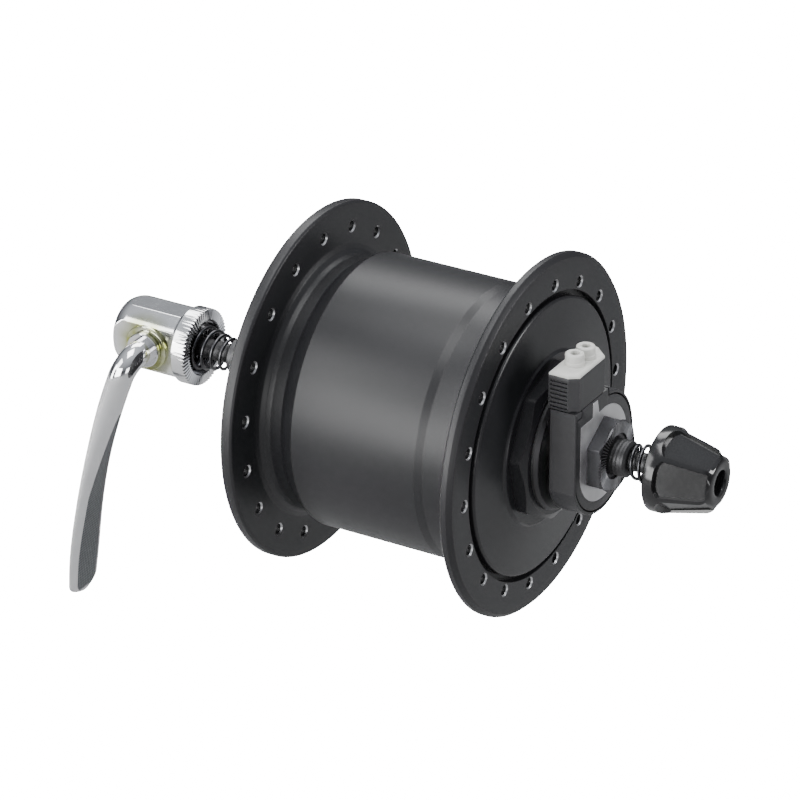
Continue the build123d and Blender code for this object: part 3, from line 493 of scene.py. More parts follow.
def spanner_flats(sides, first_corner, corner_r):
    """The flats of a regular polygon, as pairs of angle and apothem, which is the
    corner radius times cos(180° / sides)."""
    apothem = corner_r * np.cos(np.pi / sides)
    return [(first_corner + 360 / sides * (k + 0.5), apothem) for k in range(sides)]


def bevelled_flats(turns, flats, seat_y, face_y, face_r, bevel, sharpness=9.0):
    """Rows up the side of a nut: the flats from the seat to where the bevel cone
    meets them, at face_y plus (reach - face_r) tan(bevel), then the cone to the face."""
    reach = flats_radius(turns, flats, sharpness)
    away = np.sign(seat_y - face_y)
    meet = face_y + away * (reach - face_r) * np.tan(np.radians(bevel))
    return [(seat_y, reach), (meet, reach), (face_y + away * face_edge, face_r)]


cap_turns = corner_turns(8, -octagon_turn, 24)
octagon_rows = bevelled_flats(
    cap_turns, spanner_flats(8, -octagon_turn, octagon_corner_r), octagon_seat_y,
    *octagon_face, octagon_bevel, sharpness=2.5)
cap_skins = [
    stacked(cap_turns, *rounded(cap_line, cap_edges), along=False),
    stacked(cap_turns, (octagon_seat_y, cap_line[0][1]), *octagon_rows, octagon_face, along=False)]
cap_black = finish_of(
    "cap_black", anodised_tone, 0.3, specular=0.34, cloud=(30.0, 0.6), swing=0.12,
    grain=3500.0, depth=0.000006)
lathe_rings(cap_black, 0.00045, 0.0000018)
cap_piece = solid("dished_cap", cap_skins, [cap_black])
put(cap_piece, "shell", "satin_black", "end_cap")

# Dust seals
# Pressed steel shields that close the bearings at both ends of the shell. They turn
# with it, and a bright edge of the right one shows beside the terminal housing.
seal_steel = finish_of("seal_steel", (0.04, 0.04, 0.042), 0.45, metallic=0.8, cloud=(200.0, 0.5))
dress(seal_steel, "left_dust_seal", "right_dust_seal")

# Locknuts
# Hexagon nuts, blackened steel, whose outer faces have sixty radial teeth that bite
# into the fork ends, round a plain countersunk ring next to the axle.
nut_corner_r = 17.0 / 2 / np.cos(np.pi / 6)
nut_back, nut_front = 46.3, 50.0
nut_face_r = 8.9
nut_bevel = 30.0
nut_hole_r, ring_inner_r = 4.53, 5.1
nut_edge, ring_drop, hole_drop = 0.1, 0.7, 1.0
nut_rows, toothed_row = 9, 4
teeth_count = 60
teeth_lanes = 8 * teeth_count
teeth_depth = 0.55
teeth_inner_r = 5.7


def teeth_wave(turns, steepness=1.6):
    """Sharp ridges round a face, from 0 to 1: the sine of the teeth's count times the
    turn, made steeper and cut off at both ends."""
    wave = np.sin(teeth_count * turns)
    return 0.5 + 0.5 * np.clip(steepness * wave, -1, 1)


def locknut(side):
    """Bevelled hexagon, then rows across the toothed face, where y falls back by the
    teeth's wave, then the plain ring and the hole."""
    turns = turns_of(teeth_lanes)
    flats = bevelled_flats(
        turns, spanner_flats(6, 30.0, nut_corner_r), side * nut_back, side * nut_front,
        nut_face_r, nut_bevel)
    face_y = side * (nut_front - teeth_depth * teeth_wave(turns))
    ring_y = side * (nut_front - ring_drop)
    return stacked(
        turns, (side * nut_back, nut_hole_r), *flats, (face_y, nut_face_r - nut_edge),
        (face_y, teeth_inner_r), (ring_y, teeth_inner_r - nut_edge), (ring_y, ring_inner_r),
        (side * (nut_front - hole_drop), nut_hole_r))


nut_steel = finish_of(
    "nut_steel", (0.07, 0.07, 0.075), 0.42, metallic=0.85, cloud=(120.0, 0.9), swing=0.25)
rubbed_steel = finish_of("rubbed_steel", (0.3, 0.3, 0.31), 0.3, metallic=0.9, cloud=(300.0, 0.8))
tooth_tops = teeth_wave(turns_of(teeth_lanes, start=180 / teeth_lanes)) < 0.5
for side, name in ((-1, "right"), (1, "left")):
    nut_marks = np.zeros((nut_rows, teeth_lanes), int)
    nut_marks[toothed_row] = tooth_tops
    nut = solid(name + "_toothed_locknut", [locknut(side)], [nut_steel, rubbed_steel],
                slot_marks=nut_marks.ravel())
    put(nut, "axle_group", "dark_steel", name + "_locknut")

# Terminal housing
# A black nylon moulding, clamped on the axle by the locknut, with a round rim, a flat
# wall on the left and a shelf on top that carries the plug. A front panel snaps into
# it, and the ground plate of zinc-plated steel lies in that, under the nut.
back_y, front_y = -39.3, -46.3
housing_plan = dict(disc=15.4, wall=-14.4, shelves=((-14.4, 2.9, 16.2),))
panel_plan = dict(disc=14.3, wall=-13.65, shelves=((-13.65, 0.0, 14.2), (-11.3, 2.0, 16.2)))
pocket_plan = dict(disc=14.65, wall=-14.0, shelves=((-14.0, 0.0, 14.55), (-11.65, 2.35, 16.8)))
plate_plan = dict(disc=12.05, wall=-11.8, shelves=((-11.8, 0.0, 11.8),), tab=(-5.8, -3.3, 15.55))
panel_t = 2.4
plate_t = 0.6
axle_hole_r = 4.52
housing_insets, panel_insets, plate_insets = (0, 0.06, 0.22, 0.5), (0, 0.05, 0.2), (0, 0.08)
back_edge, stamped_edge = 0.3, 0.1
seam, nest_gap, draft = 0.02, 0.05, 0.01
tab_side_turn, tab_step = 0.35, 0.002
plan_lanes, corner_step = 240, 0.012
tiny = 1e-6


def plan_radius(turns, disc, wall, shelves, tab=None, grow=0.0):
    """Outline seen from the plug side, as a distance from the axle: a disc cut by a
    straight wall, joined with boxes that stand on the middle, each given by its two
    sides and its height. The largest reach of all of them counts, moved out by grow."""
    across, up = np.cos(turns), np.sin(turns)
    wall_reach = np.where(across < -tiny, (wall - grow) / np.minimum(across, -tiny), far_off)
    reach = np.minimum(disc + grow, wall_reach)
    for left, right, top in shelves:
        side = np.where(across < 0, (left - grow) / np.minimum(across, -tiny),
                        (right + grow) / np.maximum(across, tiny))
        box = np.where(up > tiny, np.minimum(side, (top + grow) / np.maximum(up, tiny)), 0)
        reach = np.maximum(reach, box)
    if tab:
        left, right, top = tab[0] - grow, tab[1] + grow, tab[2] + grow
        inside = turns > np.arctan2(top, right)
        inside &= turns < np.arctan2(top, left) + tab_side_turn
        box = np.minimum(left / np.minimum(across, -tiny), top / np.maximum(up, tiny))
        reach = np.where(inside, np.maximum(reach, box), reach)
    return reach


def merged_turns(even, keys, beside=0.0, more=()):
    """Even angles with the key ones and one on each side of every key, key - beside and
    key + beside, in order and each only once, to five decimals."""
    return np.unique(np.round(np.concatenate([even, keys, keys - beside, keys + beside, more]), 5))


def plan_turns(*plans):
    """Even angles, with the exact ones of every corner of the plans and one on each side
    of it: arctan(top / side) for a box, arccos(side / disc) where it leaves the disc."""
    corners = []
    for plan in plans:
        for left, right, top in plan["shelves"]:
            corners += [np.arctan2(top, left), np.arctan2(top, right)]
            corners += [np.arccos(np.clip(x / plan["disc"], -1, 1)) for x in (left, right)]
        wall_turn = np.arccos(plan["wall"] / plan["disc"])
        corners += [wall_turn, -wall_turn]
        if "tab" in plan:
            left, right, top = plan["tab"]
            tab_turn = np.arctan2(top, right)
            corners += [np.arctan2(top, left), tab_turn, tab_turn + tab_step]
    even = np.linspace(-np.pi, np.pi, plan_lanes, endpoint=False)
    return merged_turns(even, np.array(corners), corner_step)


nylon_black = finish_of(
    "nylon_black", (0.022, 0.022, 0.024), 0.42, specular=0.45, cloud=(90.0, 0.5), swing=0.12,
    grain=1800.0, depth=0.00001)
turns = plan_turns(housing_plan, pocket_plan)
outside = [plan_radius(turns, grow=-inset, **housing_plan) for inset in housing_insets]
pocket = plan_radius(turns, **pocket_plan)
rim = np.minimum(pocket, outside[3] - seam)
floor_y = front_y + panel_t
rim_y = [
    np.where(pocket > outside[0], floor_y, front_y + inset) for inset in housing_insets[::-1]]
housing_rows = stacked(
    turns, (back_y, axle_hole_r), (back_y, outside[2]), (back_y - back_edge, outside[0]),
    *zip(rim_y, outside), (rim_y[3], rim), (floor_y, rim - draft), (floor_y, axle_hole_r))
housing = solid("housing_moulding", [housing_rows], [nylon_black])
put(housing, "axle_group", "black_plastic", "terminal_housing")

turns = plan_turns(panel_plan, plate_plan)
edges = [plan_radius(turns, grow=-inset, **panel_plan) for inset in panel_insets]
nest = np.minimum(plan_radius(turns, grow=nest_gap, **plate_plan), edges[2] - seam)
nest_y = front_y + plate_t + seam
panel_rows = stacked(
    turns, (floor_y - seam, axle_hole_r), (floor_y - seam, edges[0]),
    *((front_y + drop, edge) for drop, edge in zip(panel_insets[::-1], edges)),
    (front_y, nest), (nest_y, nest - draft / 2), (nest_y, axle_hole_r))
panel = solid("front_panel", [panel_rows], [nylon_black])
put(panel, "axle_group", "black_plastic", "terminal_panel")

plate_steel = finish_of(
    "plate_steel", (0.52, 0.52, 0.53), 0.38, metallic=0.85, cloud=(180.0, 0.5), swing=0.2,
    depth=0.00002)
turns = plan_turns(plate_plan)
plate_edge = [plan_radius(turns, grow=-inset, **plate_plan) for inset in plate_insets]
plate_back = front_y + plate_t
plate_rows = stacked(
    turns, (plate_back, axle_hole_r), (plate_back, plate_edge[0]),
    (front_y + stamped_edge, plate_edge[0]), (front_y, plate_edge[1]), (front_y, axle_hole_r))
plate = solid("ground_plate_stamping", [plate_rows], [plate_steel])
put(plate, "axle_group", "bright_steel", "ground_plate")

# Plug
# A black nylon cap that grips a grey insert. The two lamp wires go up through the
# insert's collars. Ribs on the left wall give the fingers hold when it is pulled off.
plug_middle = np.array([-6.55, -42.6])
plug_corners = np.array([
    (2.9, -38.9), (-14.4, -38.9), (-14.4, -44.1), (-12.9, -46.3), (-0.4, -46.3), (2.9, -42.8)])
plug_corners -= plug_middle
cavity_corners = np.array([(-0.4, -40.6), (-12.7, -40.6), (-12.7, -44.6), (-0.4, -44.6)])
cavity_corners -= plug_middle
plug_z, plug_top = 16.4, 25.2
rib_span = (-43.75, -39.25)
rib_first, rib_pitch, rib_slot, rib_depth = 17.0, 1.1, 0.5, 0.5
rib_count, slot_edge, rib_end = 7, 0.03, 0.08
plug_lanes, key_step, wall_slack = 180, 0.02, 0.02
plug_insets = (0, 0.05, 0.25)


def convex_reach(turns, corners, inset=0.0, least_lean=1e-3):
    """Distance from the middle to the sides of a convex outline: each side's own
    distance over the cosine to its normal; the smallest counts."""
    along = np.roll(corners, -1, axis=0) - corners
    normals = np.stack([along[:, 1], -along[:, 0]], axis=-1)
    normals = normals / np.linalg.norm(along, axis=1, keepdims=True)
    normals *= np.sign((normals * corners).sum(1, keepdims=True))
    distance = (normals * corners).sum(1) - inset
    lean = np.cos(turns)[:, None] * normals[:, 0] + np.sin(turns)[:, None] * normals[:, 1]
    reach = np.where(lean > least_lean, distance / np.maximum(lean, least_lean), far_off)
    return reach.min(axis=1)


def upright(turns, middle, rows, along=False):
    """Surface through rows of (z, reach) round an upright axis: the middle + reach
    (cos turn, sin turn)."""
    z, reach = rows_over(turns, rows)
    return skin(np.stack([
        middle[0] + reach * np.cos(turns), middle[1] + reach * np.sin(turns), z], axis=-1),
        along=along)


def turns_to(points):
    """The angles at which points lie: arctan(second / first)."""
    return np.arctan2(points[:, 1], points[:, 0])


wall_x = plug_corners[1][0]
rib_ends = np.array([
    (wall_x, y - plug_middle[1]) for edge in rib_span for y in (edge - rib_end, edge + rib_end)])
key_turns = np.concatenate([turns_to(plug_corners), turns_to(cavity_corners)])
plug_turns = merged_turns(
    np.linspace(-np.pi, np.pi, plug_lanes, endpoint=False), key_turns, key_step,
    turns_to(rib_ends))
slots = [rib_first + k * rib_pitch for k in range(rib_count)]
slot_rows = np.concatenate([
    [z - slot_edge, z + slot_edge, z + rib_slot - slot_edge, z + rib_slot + slot_edge]
    for z in slots])
wall = [convex_reach(plug_turns, plug_corners, inset) for inset in plug_insets]
place_y = plug_middle[1] + wall[0] * np.sin(plug_turns)
ribbed = (np.cos(plug_turns) < 0) & (place_y > rib_span[0]) & (place_y < rib_span[1])
ribbed &= np.abs(wall[0] * np.cos(plug_turns) - wall_x) < wall_slack
sunk = np.where(ribbed, wall[0] - rib_depth / np.maximum(-np.cos(plug_turns), 0.3), wall[0])
deep = [0, 1, 1, 0] * len(slots)
inner = convex_reach(plug_turns, cavity_corners)
plug_rows = [(plug_z, inner), *zip(np.add(plug_z, plug_insets), wall[::-1])]
plug_rows += [(z, sunk if low else wall[0]) for z, low in zip(slot_rows, deep)]
plug_rows += [
    (plug_top - 0.2, wall[0]), (plug_top - 0.05, wall[1]), (plug_top, wall[2]), (plug_top, inner)]
plug_skin = upright(plug_turns, plug_middle, plug_rows, along=True)
put(solid("plug_moulding", [plug_skin], [nylon_black]), "plug", "black_plastic", "plug_cap")

insert_grey = finish_of(
    "insert_grey", (0.55, 0.55, 0.52), 0.5, specular=0.4, cloud=(220.0, 0.35), depth=0.00001)
insert_top, skirt_z = 26.1, 17.8
collar_z, collar_top = 25.8, 29.0
wire_places = ((-8.2, -42.4), (-3.5, -42.8))
skirt = [convex_reach(plug_turns, cavity_corners, inset) for inset in (0.15, 0.95)]
lip = [convex_reach(plug_turns, plug_corners, inset) for inset in (0.0, 0.05, 0.45, 0.6)]
insert_rows = [
    (insert_top - 0.6, 0.0), (insert_top - 0.6, skirt[1]), (skirt_z, skirt[1]),
    (skirt_z, skirt[0]), (plug_top + 0.01, skirt[0]), (plug_top + 0.01, lip[0]),
    (insert_top - 0.45, lip[0]), (insert_top - 0.35, lip[1]), (insert_top - 0.05, lip[2]),
    (insert_top, lip[3]), (insert_top, 0.0)]
insert_skins = [upright(plug_turns, plug_middle, insert_rows)]
collar_turns = turns_of(48)
collar_line = rounded([
    (collar_z, 1.0), (collar_z, 2.45), (26.9, 2.45), (27.1, 2.3), (collar_top, 2.3),
    (collar_top, 1.15), (28.4, 1.0)], [0, 0, 0.15, 0.1, 0.55, 0.15, 0.1], steps=4)
for wire_place in wire_places:
    insert_skins.append(upright(collar_turns, wire_place, collar_line, along=True))
put(solid("grey_insert", insert_skins, [insert_grey]), "insert", "grey_plastic", "wire_insert")

# Rod and springs
# The quick-release rod is blackened steel. Two conical springs of blackened wire, one
# at each end, hold its fittings off the fork while the wheel is put in. Each stands with
# its small end on the axle; the coils are made once, in place, and do not follow the rod.
spring_turns = 5
spring_rows, wire_lanes = 40, 10
spring_radii = (3.75, 6.15)
wire_r = 0.45
left_spring_ends, right_spring_ends = (57.5, 69.3), (-54.5, -66.1)


def capped(rows):
    """Rows of a tube, closed at both ends by a row that lies in the end's middle."""
    caps = [np.broadcast_to(rows[k].mean(0), rows[k].shape)[None] for k in (0, -1)]
    return np.concatenate([caps[0], rows, caps[1]])


def coil(ends):
    """Round wire along a cone's helix: the radius and y go evenly from the small end
    to the big one. Its rings lie across the line, on the outward and sideways ways."""
    share = np.linspace(0, 1, spring_turns * spring_rows + 1)[:, None]
    turn = 2 * np.pi * spring_turns * share
    ring = turns_of(wire_lanes)
    (small_y, big_y), (small_r, big_r) = ends, spring_radii
    radius = small_r + (big_r - small_r) * share
    centre = np.stack([
        radius * np.cos(turn), small_y + (big_y - small_y) * share, radius * np.sin(turn)], axis=-1)
    outward = np.stack([np.cos(turn), 0 * turn, np.sin(turn)], axis=-1)
    way = np.gradient(centre[:, 0], axis=0)[:, None]
    sideways = np.cross(way / np.linalg.norm(way, axis=-1, keepdims=True), outward)
    across, aside = np.cos(ring)[None, :, None], np.sin(ring)[None, :, None]
    return skin(capped(centre + wire_r * (across * outward + aside * sideways)))


spring_wire = finish_of(
    "spring_wire", (0.09, 0.09, 0.095), 0.3, metallic=1.0, cloud=(200.0, 0.5), swing=0.2)
dress(dark_steel, "skewer_rod")
left_coil = solid("left_coil", [coil(left_spring_ends)], [spring_wire], crease=60.0)
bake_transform(left_coil)
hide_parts("left_spring")
right_coil = solid("right_coil", [coil(right_spring_ends)], [spring_wire], crease=60.0)
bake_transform(right_coil)
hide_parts("right_spring")

# Terminal blades
# Two tinned brass blades that stand up out of the housing into the plug.
dress(finish_of("tinned_brass", (0.65, 0.6, 0.5), 0.3, metallic=1.0), "terminal_blades")

# Hand nut
# A glossy black moulding turned by hand on the rod's right end, with six long flat
# panels sunk between ribs. A brass bush inside it carries the thread.
nut_base, nut_band_end, nut_bevel_y, nut_tip = -61.6, -64.4, -75.9, -77.3
nut_base_r, nut_tip_r, nut_tip_face_r = 10.5, 7.8, 5.2
panel_depth = 1.65
panel_widths = (8.7, 6.1)
panel_turn = -12.0
panel_arch, arch_power = 1.3, 3.5
panel_count = 6
nut_bore_r = 3.6


def plain_rows(line, turns):
    """Rows of a plain line of (y, radius), on the same columns as a shaped row."""
    y, radius = rows_over(turns, line)
    return y, radius, np.broadcast_to(turns, y.shape)


def panelled_nut():
    """Rows from the arched ends of the panels to the tip. Columns keep to the panels'
    edges, at arctan(half width / floor distance). In a panel the radius is the floor
    distance / cos(turn from its middle), where that is less than the cone's."""
    inside = np.concatenate([[-1.0], np.linspace(-1, 1, 15), [1.0]])
    rib = np.concatenate([[0.06], np.linspace(0.15, 0.85, 5), [0.94]])
    edge = np.arctan(panel_widths[0] / 2 / (nut_base_r - panel_depth))
    arch = np.concatenate([np.abs(inside) ** arch_power, np.ones_like(rib)])
    start = nut_band_end - 0.1 - panel_arch * arch
    tip_line = rounded(
        [(nut_band_end, nut_base_r), (nut_bevel_y, nut_tip_r), (nut_tip, nut_tip_face_r),
         (nut_tip, 3.5)], [0, 1.1, 0.6, 0], steps=5)[6:]
    tip_y, tip_r = tip_line[tip_line[:, 1] > nut_bore_r].T
    share = np.array([-0.02, 0.02, 0.08, 0.2, 0.35, 0.5, 0.65, 0.8, 0.92])[:, None]
    y = np.vstack([
        start + share * (nut_bevel_y + 1.2 - start),
        np.broadcast_to(tip_y[:, None], (len(tip_y), len(start)))])
    cone = np.interp(-y, [-nut_band_end, -nut_bevel_y], [nut_base_r, nut_tip_r])
    cone[len(share):] = tip_r[:, None]
    down = (nut_band_end - y) / (nut_band_end - nut_bevel_y)
    floor_r = nut_base_r - panel_depth - (nut_base_r - nut_tip_r) * down
    width = panel_widths[0] + (panel_widths[1] - panel_widths[0]) * down
    reach = np.arctan(width / 2 / floor_r)
    lanes = len(inside)
    beside = reach[:, lanes:]
    phi = np.hstack([
        reach[:, :lanes] * inside, beside + (2 * np.pi / panel_count - 2 * beside) * rib])
    sunk = np.minimum(cone, floor_r / np.cos(np.minimum(phi, edge * 1.2)))
    is_sunk = np.arange(len(start)) % (lanes - 1) > 0
    is_sunk[lanes:] = False
    radius = np.where(is_sunk, sunk, cone)
    radius[0] = cone[0]
    return y, radius, phi


panel_y, panel_r, panel_phi = panelled_nut()
steps = 2 * np.pi / panel_count * np.arange(panel_count)
nut_turns = np.radians(panel_turn) + panel_phi[:, None, :] + steps[None, :, None]
nut_turns = nut_turns.reshape(len(panel_y), -1)
panel_y, panel_r = np.tile(panel_y, (1, panel_count)), np.tile(panel_r, (1, panel_count))
foot = plain_rows(
    [(-66.6, 7.3), (-61.8, 7.3), (nut_base, 7.5), (nut_base, 10.15), (-61.7, 10.4),
     (-61.95, nut_base_r), (-64.25, nut_base_r)], nut_turns[0])
head = plain_rows(
    [(nut_tip, nut_bore_r), (-77.15, 3.25), (-76.7, 3.02), (-74.2, 3.02), (-74.2, 4.8),
     (-66.6, 4.8)], nut_turns[-1])
nut_y, nut_r, nut_turns = (
    np.vstack(parts) for parts in zip(foot, (panel_y, panel_r, nut_turns), head))
gloss_black = finish_of(
    "gloss_black", (0.006, 0.006, 0.0065), 0.17, specular=0.55, cloud=(110.0, 0.5), swing=0.12,
    grain=900.0, depth=0.000008)
nut_skin = skin(turned(nut_y, nut_r, nut_turns), along=True)
nut_piece = solid("panelled_nut", [nut_skin], [gloss_black], crease=28.0)
put(nut_piece, "hand_nut", "gloss_black_plastic", "nut_grip")
dress(finish_of("nut_brass", (0.7, 0.5, 0.2), 0.3, metallic=1.0), "nut_insert")

# Cam housing
# Chromed steel, screwed on the rod's left end. Its toothed face grips the fork end.
# The cam turns in a slot in its middle, on a shaft that comes in through a round boss.
grip_face, grip_rim_end, grip_shoulder = 65.3, 69.5, 70.3
grip_r, grip_recess_r, grip_recess_floor = 9.9, 7.05, 69.8
barrel_flats = ((0, 7.0), (90, 8.5), (180, 7.0), (270, 8.5))
barrel_round_r = 9.1
barrel_end = 89.3
barrel_end_line = ((85.5, 9.1), (88.0, 7.7), (barrel_end, 4.5))
cavity_half = (2.8, 6.1)
cavity_end = 84.4
pivot_y = 78.0
boss_r, boss_x = 5.9, -7.9
shaft_holes = ((-9.5, 0.0, 4.05), (0.5, 9.5, 1.85))
barrel_crease = 30.0
chrome_tone = (0.78, 0.78, 0.79)
olive_tone = (0.34, 0.36, 0.1)


def around_x(line, y, lanes=64, along=False):
    """Rows of (x, radius) turned round an axis along X at the height y of the part:
    (x, y + radius cos turn, radius sin turn)."""
    turns = turns_of(lanes)
    x, radius = np.array(line, float).T
    return skin(np.stack(np.broadcast_arrays(
        x[:, None], y + radius[:, None] * np.cos(turns), radius[:, None] * np.sin(turns)),
        axis=-1), along=along)


def recolour(material, share, colour, way="MIX"):
    """Mixes the grain's colour with another one by a share, on its way to the shader."""
    tree = material.node_tree
    mix = add_node(
        tree, "Mix", {0: share, 6: tree.nodes["grain"].outputs["Colour"], 7: colour},
        data_type="RGBA", blend_type=way)
    tree.links.new(mix.outputs[2], tree.nodes["Principled BSDF"].inputs["Base Color"])


def tarnish(material, place, near, far, tone):
    """Olive film round a place: the colour turns towards the tone by a share that falls
    with the distance, from one and a half at near to nothing at far, times noise."""
    tree = material.node_tree
    spot = add_node(tree, "TexCoord").outputs["Object"]
    distance = add_node(
        tree, "VectorMath", {0: spot, 1: np.multiply(place, mm).tolist()}, operation="DISTANCE")
    fall = add_node(tree, "MapRange", {
        "Value": distance.outputs["Value"], "From Min": near * mm, "From Max": far * mm,
        "To Min": 1.5, "To Max": 0.0})
    patch = add_node(tree, "TexNoise", {"Vector": spot, "Scale": 260.0})
    share = math_of(tree, "MULTIPLY", fall.outputs["Result"], patch.outputs["Fac"])
    recolour(material, share, (*tone, 1))


def cut(piece, *cutters):
    """The piece less every cutter, kept as its new mesh. The cutters are removed."""
    for cutter in cutters:
        step = piece.modifiers.new("cut", "BOOLEAN")
        step.operation, step.solver, step.object = "DIFFERENCE", "EXACT", cutter
    graph = bpy.context.evaluated_depsgraph_get()
    mesh = bpy.data.meshes.new_from_object(piece.evaluated_get(graph))
    piece.modifiers.clear()
    piece.data = mesh
    for cutter in cutters:
        bpy.data.objects.remove(cutter)
    mesh.shade_smooth()
    mesh.set_sharp_from_angle(angle=np.radians(barrel_crease))


chrome = finish_of(
    "chrome", chrome_tone, 0.09, metallic=1.0, cloud=(160.0, 0.12), depth=0.000004)
barrel_chrome = finish_of(
    "barrel_chrome", chrome_tone, 0.12, metallic=1.0, cloud=(160.0, 0.25), swing=0.12,
    depth=0.000004)
tarnish(barrel_chrome, (boss_x, pivot_y, 0), 5.5, 9.5, olive_tone)
corner_at = np.degrees(np.arctan2(cavity_half[1], cavity_half[0]))
slot_corners = np.radians([corner_at, 180 - corner_at, 180 + corner_at, 360 - corner_at])
barrel_turns = merged_turns(turns_of(teeth_count * 6), slot_corners)
barrel_reach = np.minimum(barrel_round_r, flats_radius(barrel_turns, barrel_flats, sharpness=7.0))
slot_reach = np.minimum(
    cavity_half[0] / np.maximum(np.abs(np.cos(barrel_turns)), tiny),
    cavity_half[1] / np.maximum(np.abs(np.sin(barrel_turns)), tiny))
end_rows = rounded(
    [(grip_shoulder, barrel_round_r), *barrel_end_line, (barrel_end, 1.0)], [0, 1.4, 0.9, 0.5, 0],
    steps=4)[5:-5][::-1]
face_teeth = grip_face + teeth_depth * teeth_wave(barrel_turns)
barrel_skin = stacked(
    barrel_turns, (barrel_end, 0),
    *((y, np.minimum(radius, barrel_reach)) for y, radius in end_rows),
    (grip_shoulder, barrel_reach), (grip_rim_end + 0.35, (barrel_reach + grip_r) / 2),
    (grip_rim_end, grip_r - 0.2), (grip_rim_end - 0.25, grip_r), (grip_face + 0.7, grip_r),
    (face_teeth + 0.12, grip_r - 0.12), (face_teeth, grip_r - 0.35),
    (face_teeth, grip_recess_r + 0.15), (grip_face + 0.5, grip_recess_r),
    (grip_recess_floor, grip_recess_r), (grip_recess_floor, slot_reach),
    (cavity_end, slot_reach), (cavity_end, 0), along=False)
boss_line = rounded(
    [(-6.0, 4.06), (-6.0, boss_r), (boss_x, boss_r), (boss_x, 4.06)], [0, 0, 0.35, 0.15])
housing_piece = solid("chromed_barrel", [barrel_skin], [barrel_chrome], crease=barrel_crease)
bore_lines = [
    [(low, 0), (low, radius), (high, radius), (high, 0)] for low, high, radius in shaft_holes]
cut(housing_piece, *(
    solid("cutter", [around_x(line, pivot_y)], [barrel_chrome]) for line in bore_lines))
put(housing_piece, "cam_body", "chrome", "cam_housing")
boss_piece = solid("shaft_boss", [around_x(boss_line, pivot_y, along=True)], [barrel_chrome])
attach(boss_piece, "cam_body")

# Lever
# Forged steel, chromed. It turns in the barrel on a stepped shaft with a cam, bends
# down past the axle and widens into a thumb end. A flat on the side that faces the
# wheel is grey and finely cross-cut.
arm_x, bend_r, arm_length = -16.5, 5.0, 66.5
lean_top, lean_tip = 21.5, 4.0
arm_shares = (0.0, 0.14, 0.36, 0.62, 0.85, 0.95, 1.0)
arm_widths = (6.5, 7.0, 9.0, 11.6, 12.8, 12.2, 8.4)
arm_offsets = (0.0, 0.1, 0.5, 0.9, 1.1, 1.1, 0.9)
arm_thicknesses = (6.5, 6.3, 5.2, 4.0, 3.5, 3.1, 2.2)
flat_shares, flat_heights = (0.13, 0.55, 1.1), (3.2, 1.5, 0.9)
hatch_rows, hatch_columns = (0.15, 0.985), (0.035, 0.965)
collar_x, collar_end_x, cam_x, pin_x, pin_end_x = -7.95, -9.35, -2.85, 2.5, 9.25
cam_y = 79.0
tip_start, tip_length = 0.95, 0.05
tip_narrowing, tip_thinning = 0.9, 0.55
bend_rows, arm_rows, tip_rows, round_lanes = 12, 44, 8, 49
no_flat = 9.0


def smooth_table(shares, values, at):
    """A curve through a table: cubic between its places, with slopes from the
    neighbours on both sides."""
    shares, values = np.array(shares), np.array(values)
    slopes = np.gradient(values, shares)
    k = np.clip(np.searchsorted(shares, at, side="right") - 1, 0, len(shares) - 2)
    step = shares[k + 1] - shares[k]
    s = (at - shares[k]) / step
    return ((2 * s ** 3 - 3 * s ** 2 + 1) * values[k] + (s ** 3 - 2 * s ** 2 + s) * step * slopes[k]
            + (3 * s ** 2 - 2 * s ** 3) * values[k + 1] + (s ** 3 - s ** 2) * step * slopes[k + 1])


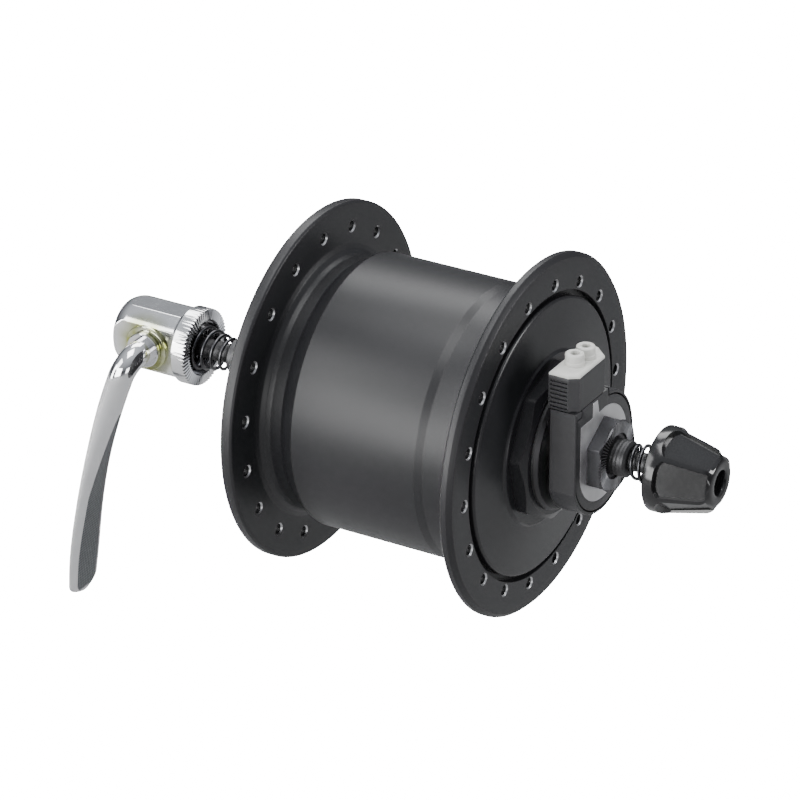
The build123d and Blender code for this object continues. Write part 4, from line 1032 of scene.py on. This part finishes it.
def lever_skin():
    """Elliptical sections swept round the bend, a quarter circle, and along the arm,
    an arc whose lean from straight down goes evenly from lean_top to lean_tip. Where
    the flat's height is less than half the thickness the section is cut off there. At
    the tip, width and thickness shrink by the root of 1 - narrowing or thinning × way²."""
    top, tip = np.radians(lean_top), np.radians(lean_tip)
    beta = np.linspace(0, np.pi / 2, bend_rows + 1)[:-1, None]
    centre_y, centre_z = pivot_y + bend_r * np.sin(top), -bend_r * np.cos(top)
    bend_x = arm_x + bend_r
    share = np.concatenate([
        np.linspace(0, tip_start, arm_rows),
        tip_start + tip_length * np.sin(np.linspace(0, np.pi / 2, tip_rows + 1)[1:])])
    width, thick = (
        smooth_table(arm_shares[:-1], sizes[:-1], np.minimum(share, tip_start))
        for sizes in (arm_widths, arm_thicknesses))
    end = np.clip((share - tip_start) / tip_length, 0, 1)
    width = width * np.sqrt(1 - tip_narrowing * end ** 2)
    thick = thick * np.sqrt(1 - tip_thinning * end ** 2)
    offset = np.interp(share, arm_shares, arm_offsets)
    lean = top + (tip - top) * share
    curve_r = arm_length / (top - tip)
    middle_y = centre_y + curve_r * (np.cos(lean) - np.cos(top))
    middle_z = centre_z - curve_r * (np.sin(top) - np.sin(lean))
    height = np.interp(share, flat_shares, flat_heights, left=no_flat)
    edge = np.arcsin(np.clip(height / (thick / 2), 0, 1))
    round_share = np.linspace(0, 1, round_lanes)
    flat_share = np.array([0.01, hatch_columns[0], 0.3, 0.5, 0.7, hatch_columns[1], 0.99])
    phi = (np.pi - edge)[:, None] + (np.pi + 2 * edge)[:, None] * round_share
    a_round, b_round = np.cos(phi) * (width / 2)[:, None], np.sin(phi) * (thick / 2)[:, None]
    corner = np.cos(edge) * width / 2
    a_flat = corner[:, None] * (1 - 2 * flat_share)
    b_flat = np.broadcast_to((np.sin(edge) * thick / 2)[:, None], a_flat.shape)
    a, b = np.hstack([a_round, a_flat]), np.hstack([b_round, b_flat])
    arm = np.stack(np.broadcast_arrays(
        (arm_x + offset)[:, None] + a, middle_y[:, None] - b * np.cos(lean)[:, None],
        middle_z[:, None] - b * np.sin(lean)[:, None]), axis=-1)
    phi = np.concatenate([np.pi / 2 + 2 * np.pi * round_share, np.full(len(flat_share), np.pi / 2)])
    a, b = arm_widths[0] / 2 * np.cos(phi), arm_widths[0] / 2 * np.sin(phi)
    out, away = (bend_r - a) * np.sin(beta), (bend_r - a) * np.cos(beta)
    bend = np.stack([
        bend_x - out, centre_y - away * np.sin(top) - b * np.cos(top),
        centre_z + away * np.cos(top) - b * np.sin(top)], axis=-1)
    rows = capped(np.concatenate([bend, arm]))
    points, quads = skin(rows)
    row, lane = np.divmod(np.arange(len(quads)), rows.shape[1])
    at = np.concatenate([[0], np.zeros(len(beta)), share, [1]])[row]
    marks = (at > hatch_rows[0]) & (at < hatch_rows[1])
    marks &= (lane > round_lanes) & (lane < round_lanes + len(flat_share) - 2)
    return points, quads, marks.astype(int)


def cross_cut(material, pitch, depth, groove_shade):
    """Fine crossed lines: a bump on sin(x + z) times sin(x - z), over the pitch, with
    painted shade in the grooves: the colour darkens to the given share where that product, the
    bump's height, is lowest."""
    tree = material.node_tree
    place = add_node(tree, "TexCoord").outputs["Object"]
    waves = []
    for way in (1, -1):
        ways = (2 * np.pi / pitch, 0, way * 2 * np.pi / pitch)
        along = add_node(tree, "VectorMath", {0: place, 1: ways}, operation="DOT_PRODUCT")
        waves.append(math_of(tree, "SINE", along.outputs["Value"]))
    cross = math_of(tree, "MULTIPLY", *waves)
    bump = tree.nodes["bump"]
    bump.inputs["Distance"].default_value = depth
    tree.links.new(cross, bump.inputs["Height"])
    shade = add_node(tree, "MapRange", {"Value": cross, "From Min": -1.0, "To Min": groove_shade})
    recolour(material, 1.0, shade.outputs["Result"], "MULTIPLY")


hatched_grey = finish_of(
    "hatched_grey", (0.2, 0.215, 0.225), 0.42, metallic=0.8, cloud=(300.0, 0.2))
# The cross-cut's grooves get painted shade, down to a third of the grey.
cross_cut(hatched_grey, 0.0016, 0.00008, 0.33)
*arm_skin, arm_marks = lever_skin()
shaft_lines = (
    ([(-11.6, 0), (-11.6, 3.25), (collar_end_x, 3.25), (collar_end_x, 4.3), (-9.15, 4.5),
      (-8.15, 4.5), (collar_x, 4.3), (collar_x, 4.0), (cam_x, 4.0), (cam_x, 0)], pivot_y),
    ([(cam_x, 0), (cam_x, 3.0), (pin_x, 3.0), (pin_x, 0)], cam_y),
    ([(pin_x, 0), (pin_x, 1.8), (pin_end_x, 1.8), (pin_end_x, 0)], pivot_y))
lever_skins = [arm_skin] + [around_x(line, y) for line, y in shaft_lines]
lever_marks = np.concatenate(
    [arm_marks] + [np.zeros(len(quads), int) for points, quads in lever_skins[1:]])
lever_piece = solid(
    "forged_lever", lever_skins, [chrome, hatched_grey], crease=35.0, slot_marks=lever_marks)
put(lever_piece, "lever", "chrome", "cam_lever")
dress(chrome, "lever_nut")

# Sizes
# The boxes of the bare solids and of the dressed part, kept for comparison.
sizes = {"cad": cad_box, "scene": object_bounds()}
sizes = {name: [[float(x) for x in corner] for corner in box] for name, box in sizes.items()}
